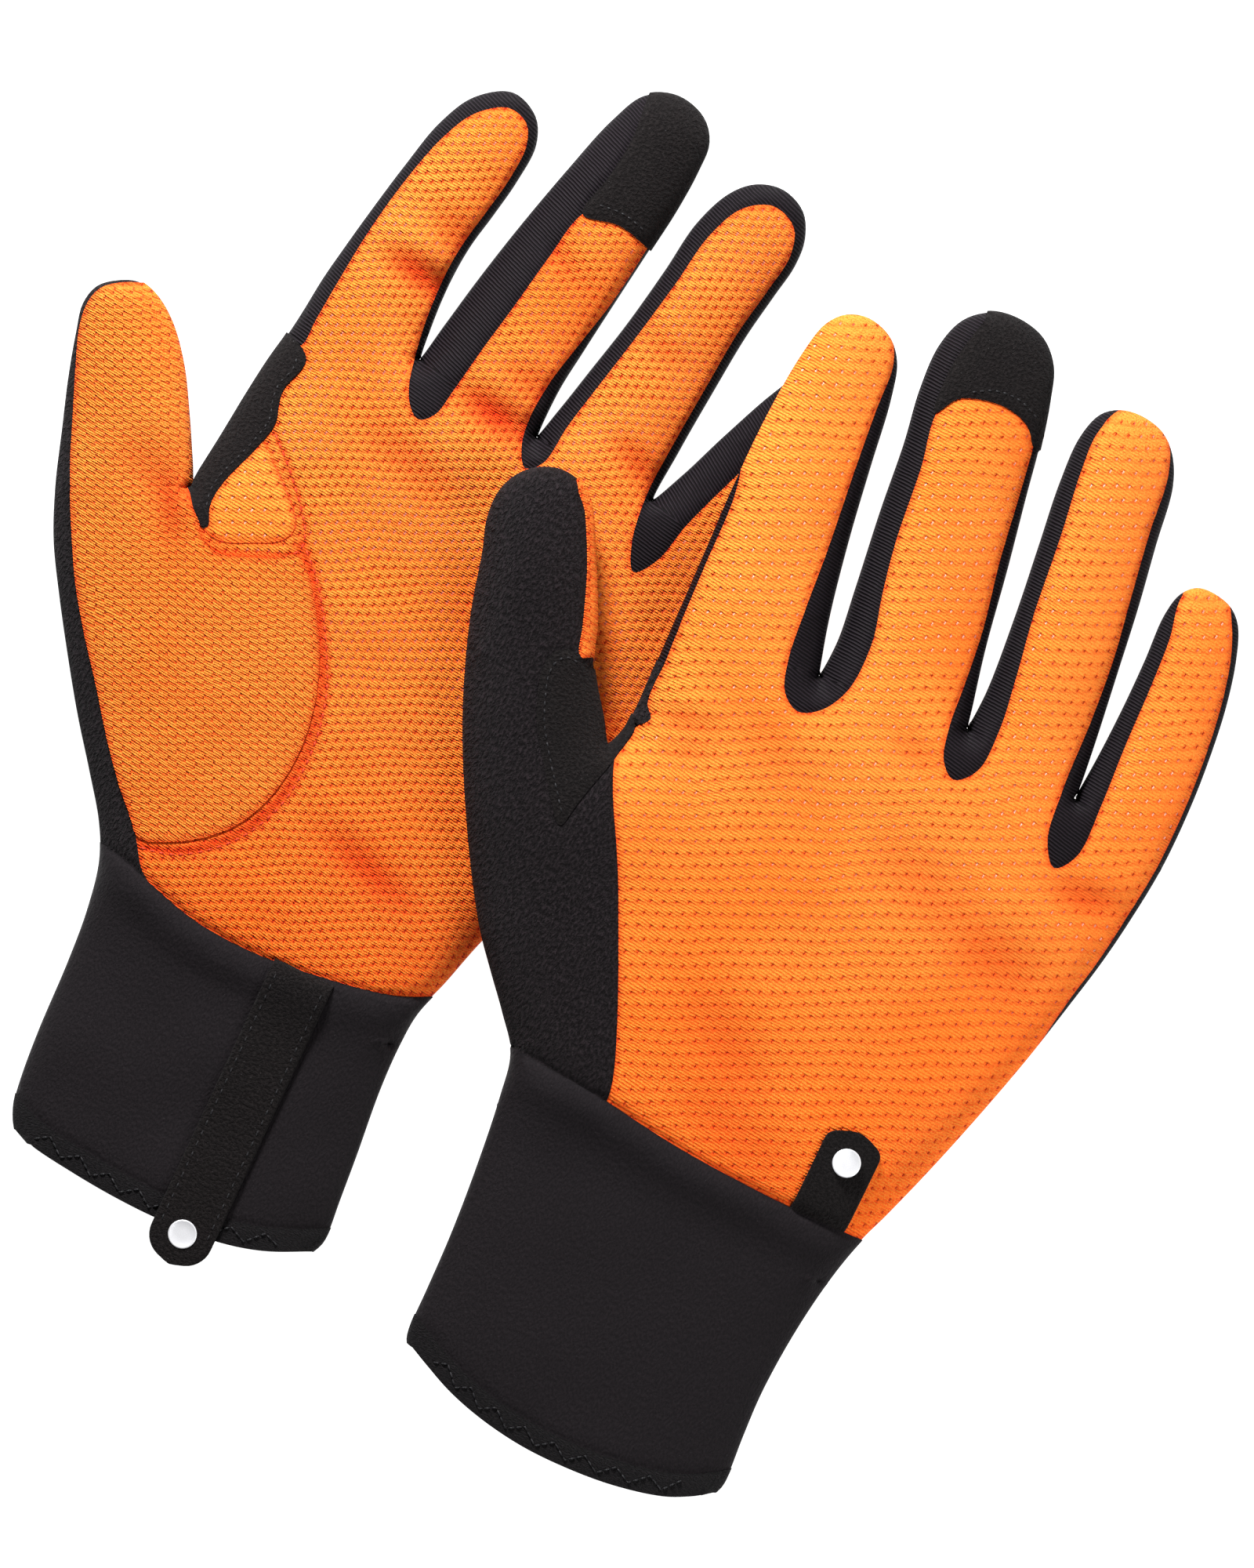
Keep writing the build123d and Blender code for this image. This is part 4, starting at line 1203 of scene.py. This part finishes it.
def flat_cut(skin, chosen):
    """Width, length and area in metres of the flat cut of some of the skin, its top and bottom parts laid side
    by side."""
    a, b, c = (skin["points"][skin["faces"][chosen][:, k]] for k in range(3))
    area = 0.5 * np.linalg.norm(np.cross(b - a, c - a), axis=1).sum() * MM ** 2
    width, length = 0.0, 0.0
    for upper in (True, False):
        part = chosen & (skin["upper"] == upper)
        if part.any():
            spots = skin["plan"][skin["faces"][part].ravel()]
            spread = (spots.max(0) - spots.min(0)) * MM
            width += spread[0]
            length = max(length, spread[1])
    if width * length < area:
        width = 1.02 * area / length
    if area < 0.34 * width * length:
        length = max(width, length) * 1.1
        width = area / length
    if width < SMALLEST_CUT:
        width, length = SMALLEST_CUT, max(SMALLEST_CUT, 1.1 * area / SMALLEST_CUT)
    return width, length, min(area, width * length)


def make_skin_pieces(skin):
    """Cut the skin into its sewn pieces, each standing for the CAD node of its name."""
    glove = skin["glove"]
    side = glove["side"]
    for name in sorted(set(skin["piece"].tolist()) - {""}):
        chosen = skin["piece"] == name
        slot, material, raised = cloth_of(name)
        node = f"{side}_{name}"
        thickness = HEM_THICK if name == "hem_binding" else FABRIC
        mesh, plan = cloth_mesh(node + "_cloth", skin, chosen, raised, thickness)
        digit = name.split("_")[0]
        if digit not in DIGITS:
            set_uv(mesh, plan)
            piece = new_object(node + "_cloth", mesh, material, f"{side}_hand")
        else:
            base, heading = digit_axis(glove, digit)
            if slot == "stretch_rib":
                across = np.array([heading[1], -heading[0]])
                plan = np.column_stack([(plan - base) @ across, (plan - base) @ heading])
            set_uv(mesh, plan)
            piece = new_object(node + "_cloth", mesh, material)
        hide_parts(node)
        width, length, area = flat_cut(skin, chosen)
        if digit in DIGITS:
            height = to_plan(glove, joints[f"{side}_{digit}_flex"]["pos_m"])[2]
            start, end = to_row(glove, [np.append(base + heading * reach, height) for reach in BLEND_REACH])
            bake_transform(piece)


def surface_at(skin, spots):
    """Height of the top face straight under each plan spot."""
    if "tree" not in skin:
        skin["tree"] = BVHTree.FromPolygons([Vector(p) for p in skin["points"]], skin["faces"].tolist())
    out = []
    for x, y in np.asarray(spots)[:, :2]:
        hit = skin["tree"].ray_cast(Vector((x, y, SKY)), Vector((0, 0, -1)))[0]
        if hit is None:
            hit = skin["tree"].find_nearest(Vector((x, y, EDGE_HEIGHT)))[0]
        out.append(hit.z)
    return np.array(out)


def stitches(name, skin, path, pitch, length, radius, material, body, lift=0.0, height_of=None):
    """A row of separate thread stitches along a plan path, lying on the top face or on what height_of gives.
    Each is a small spindle, sunk by a part of its radius. The body is named without the glove's side."""
    side = skin["glove"]["side"]
    path = np.asarray(path, float)
    sizes = np.array([0.35, 0.85, 1.0, 0.85, 0.35])
    arch = np.array([-0.5, 0.1, 0.3, 0.1, -0.5])
    reach = np.concatenate([[0], np.cumsum(np.linalg.norm(np.diff(path, axis=0), axis=1))])
    count = max(1, int(reach[-1] / pitch))
    middles = (np.arange(count) + 0.5) * reach[-1] / count
    marks = middles[:, None] + np.linspace(-0.5, 0.5, len(sizes)) * length
    spots = np.stack([np.interp(marks, reach, path[:, 0]), np.interp(marks, reach, path[:, 1])], -1)
    flat = spots.reshape(-1, 2)
    below = height_of(flat) if height_of else surface_at(skin, flat)
    level = below.reshape(spots.shape[:2]) + 0.1 * radius + lift + arch * radius
    verts, faces = [], []
    for spot, heights_ in zip(spots, level):
        quads, start, end = tube(len(sizes), THREAD_SIDES, len(verts))
        faces += [(a, d, c, b) for a, b, c, d in quads] + [start, end[::-1]]
        along = spot[-1] - spot[0]
        along /= np.linalg.norm(along) + 1e-9
        for (x, y), z, size in zip(spot, heights_, sizes):
            for turn in np.arange(THREAD_SIDES) * 2 * pi / THREAD_SIDES:
                off = cos(turn) * radius * size
                verts.append((x - along[1] * off, y + along[0] * off, z + sin(turn) * radius * size))
    name = f"{side}_{name}_stitches"
    mesh = smooth_mesh(name, skin["glove"], verts, faces, np.array(verts)[:, :2])
    return new_object(name, mesh, material, f"{side}_{body}")


def ribbon(name, glove, x, start, end, width, thick, height_of, corner, bow):
    """A flat strap with soft edges that follows height_of, its free end rounded and bowed out."""
    length = abs(end - start) - bow
    turn = 1 if end > start else -1
    straight = length - corner
    rounding = corner * np.sin(np.linspace(0, pi / 2, 10))[1:]
    along = np.concatenate([np.linspace(0, straight, int(straight / 1.2) + 1), straight + rounding])
    shoulder = [(0.9, 1.0), (0.97, 0.86), (1, 0.5)]
    section = [(-u, level) for u, level in shoulder[::-1]]
    section += [(t, 1.0) for t in np.linspace(-0.78, 0.78, 11)] + shoulder
    section += [(0.97, 0.1), (0.9, 0.0), (0, 0.0), (-0.9, 0.0), (-0.97, 0.1)]
    verts = []
    for s in along:
        left = max(0.0, corner - (length - s))
        half = width / 2 - (corner - np.sqrt(max(corner ** 2 - left ** 2, 0.0)))
        for u, level in section:
            y = start + turn * (s + bow * (1 - u * u) * (s / length) ** 8)
            verts.append((x + u * max(half, 0.4), y, level * thick))
    verts = np.array(verts)
    verts[:, 2] += height_of(verts[:, :2])
    quads, first, last = tube(len(along), len(section))
    if turn < 0:
        faces = quads + [first[::-1], last]
    else:
        faces = [quad[::-1] for quad in quads] + [first, last[::-1]]
    return smooth_mesh(name, glove, verts, faces, verts[:, :2])


def add_badge(glove, part, x, y, low, body):
    """A thin round badge with a soft edge, for the strap or the tab."""
    side = glove["side"]
    radius, thick, turns = BADGE_RADIUS, BADGE_THICK, 40
    rings = [(radius * 0.985, 0.0), (radius, thick * 0.5), (radius * 0.96, thick), (radius * 0.9, thick),
             (radius * 0.86, thick * 0.8), (radius * 0.3, thick * 0.8)]
    verts = [(x + r * cos(2 * pi * k / turns), y + r * sin(2 * pi * k / turns), low + h)
             for r, h in rings for k in range(turns)]
    quads, first, last = tube(len(rings), turns)
    name = f"{side}_{part}_disc"
    mesh = smooth_mesh(name, glove, verts, quads + [last, first[::-1]], np.array(verts)[:, :2])
    badge = new_object(name, mesh, BADGE, body)
    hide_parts(f"{side}_{part}_badge")


def make_stitches(skin):
    """The rows of stitches that show."""
    glove = skin["glove"]
    for name, row in glove["rows"].items():
        stitches(name, skin, smooth(row), 1.9, 1.35, 0.22, RED_THREAD, "hand")
        if name == "tongue":
            inner = smooth(glove["top"]["tongue"][:9])
            stitches("tongue_inner", skin, inner, 1.7, 1.2, 0.2, RED_THREAD, "hand")
    hem = smooth(glove["hem_top"])[12:-12]
    rise = np.where(np.arange(len(hem)) // 3 % 2 == 0, 1.3, 3.7)
    zigzag = (hem + np.column_stack([np.zeros(len(hem)), rise]))[::3]
    stitches("hem", skin, zigzag, 1.5, 1.2, 0.2, BLACK_THREAD, "hand", lift=0.6)
    lid = smooth(glove["cap_edge"])
    stitches("cap", skin, lid, 1.5, 1.0, 0.2, BLACK_THREAD, "middle", lift=0.4)
    rim = smooth(seen(glove, glove["patch_edge"], TOP_HEIGHT))
    stitches("patch", skin, rim, 1.6, 1.0, 0.2, BLACK_THREAD, "hand", lift=0.45)


def add_suede(glove, part, node, x, start, end, width, body, shape):
    """A suede strap or tab as a laid sheet. shape holds the ribbon's thickness, heights, corner and bow."""
    name = f"{glove['side']}_{part}_cloth"
    mesh = ribbon(name, glove, x, start, end, width, *shape)
    piece = new_object(name, mesh, SUEDE, body)
    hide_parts(f"{glove['side']}_{node}")
    abs(start - end) * MM


def make_strap(skin):
    """The pull strap over or under the cuff, its stitches and its badge."""
    glove = skin["glove"]
    up = glove["palm_up"]
    x, end = glove["strap_x"], glove["strap_end"]
    body = f"{glove['side']}_strap"
    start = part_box(f"{glove['side']}_pull_strap")[1].y / MM + 2.6

    def over_cuff(spots):
        inner = np.maximum(spots[:, 1], -104)
        flat = surface_at(skin, np.column_stack([np.full(len(spots), x), inner]))
        under = surface_at(skin, np.column_stack([spots[:, 0], inner]))
        return 0.65 * flat + 0.35 * under + 0.35

    def under_cuff(spots):
        return np.full(len(spots), 0.15)

    shape = (STRAP_THICK, over_cuff if up else under_cuff, 5.4, 0.5)
    add_suede(glove, "strap", "pull_strap", x, start, end, STRAP_WIDTH, body, shape)
    badge_y = end + BADGE_FROM_END
    badge_low = -0.12
    if up:
        badge_low = over_cuff(np.array([[x, badge_y]]))[0] + 1.15
        for edge, way in ((-1, "left"), (1, "right")):
            across = x + edge * (STRAP_WIDTH / 2 - 1.5)
            line = np.array([(across, y) for y in np.arange(start - 2.2, end + 6, -1.0)])
            stitches(f"strap_{way}", skin, line, 2.2, 1.3, 0.16, BLACK_THREAD, "strap",
                     lift=STRAP_THICK, height_of=over_cuff)
    add_badge(glove, "strap", x, badge_y, badge_low, body)


def make_tab(skin):
    """The back tab and its badge. The right one's lower end is tucked into the cuff seam."""
    glove = skin["glove"]
    up = glove["palm_up"]
    x = glove["tab_x"]
    body = "left_hand" if up else "right_tab"
    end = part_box(f"{glove['side']}_back_tab")[0].y / MM + 18.0
    start = end - (19 if up else 20.6)

    def on_back(spots):
        if up:
            return np.full(len(spots), 0.3)
        tuck = 1 - ramp(spots[:, 1], end - 20.6, end - 18.2)
        return surface_at(skin, spots) + 0.15 - 1.6 * tuck

    add_suede(glove, "tab", "back_tab", x, start, end, TAB_WIDTH, body, (TAB_THICK, on_back, 2.6, 1.2))
    badge_y = end - BADGE_FROM_END
    rim = np.array([(x + 3 * cos(k), badge_y + 3 * sin(k)) for k in np.linspace(0, 6, 12)])
    add_badge(glove, "tab", x, badge_y, 0.02 if up else float(on_back(rim).max()) + 0.8, body)


# ================================================================ floor, light and camera
def make_stage():
    """A plain pale floor, a broad soft light from the upper left and a weak fill."""
    bpy.ops.mesh.primitive_plane_add(size=6)
    floor = bpy.context.object
    floor.name = "floor"
    material = bpy.data.materials.new("floor")
    material.use_nodes = True
    shader = material.node_tree.nodes["Principled BSDF"]
    for socket, value in (
        ("Base Color", (0.2, 0.2, 0.2, 1)),
        ("Roughness", 1.0),
        ("Specular IOR Level", 0.0),
        ("Emission Color", (1, 1, 1, 1)),
        ("Emission Strength", 1.0),
    ):
        shader.inputs[socket].default_value = value
    floor.data.materials.append(material)

    world = bpy.data.worlds.new("studio")
    bpy.context.scene.world = world
    world.use_nodes = True
    background = world.node_tree.nodes["Background"]
    background.inputs["Color"].default_value = (1, 1, 1, 1)
    background.inputs["Strength"].default_value = 0.12

    # name, place in metres, size in metres, power in watts
    for name, place, size, power in (
        ("key", (-0.36, 0.5, 0.42), 0.17, 15.6),
        ("fill", (0.44, -0.14, 0.36), 0.34, 2.6),
    ):
        lamp = bpy.data.lights.new(name, "AREA")
        lamp.size = size
        lamp.energy = power
        holder = bpy.data.objects.new(name, lamp)
        holder.location = place
        holder.rotation_euler = (-Vector(place)).to_track_quat("-Z", "Y").to_euler()
        bpy.context.scene.collection.objects.link(holder)


def make_camera():
    """Straight down, turned so that the gloves' length runs 25 degrees clockwise of upright."""
    camera = bpy.data.cameras.new("camera")
    camera.sensor_fit = "VERTICAL"
    camera.sensor_height = 24.0
    distance = 4.0
    frame_height = 0.3125
    camera.lens = camera.sensor_height * distance / frame_height
    holder = bpy.data.objects.new("camera", camera)
    holder.location = (0.0174, 0.0002, distance + 0.012)
    holder.rotation_euler = (0, 0, radians(PHOTO_TURN))
    bpy.context.scene.collection.objects.link(holder)
    bpy.context.scene.camera = holder


make_stage()
make_camera()
bpy.context.scene.view_settings.view_transform = "Standard"
for plan_of_glove in (LEFT, RIGHT):
    glove_skin = skin_of(plan_of_glove)
    make_skin_pieces(glove_skin)
    make_strap(glove_skin)
    make_tab(glove_skin)
    make_stitches(glove_skin)
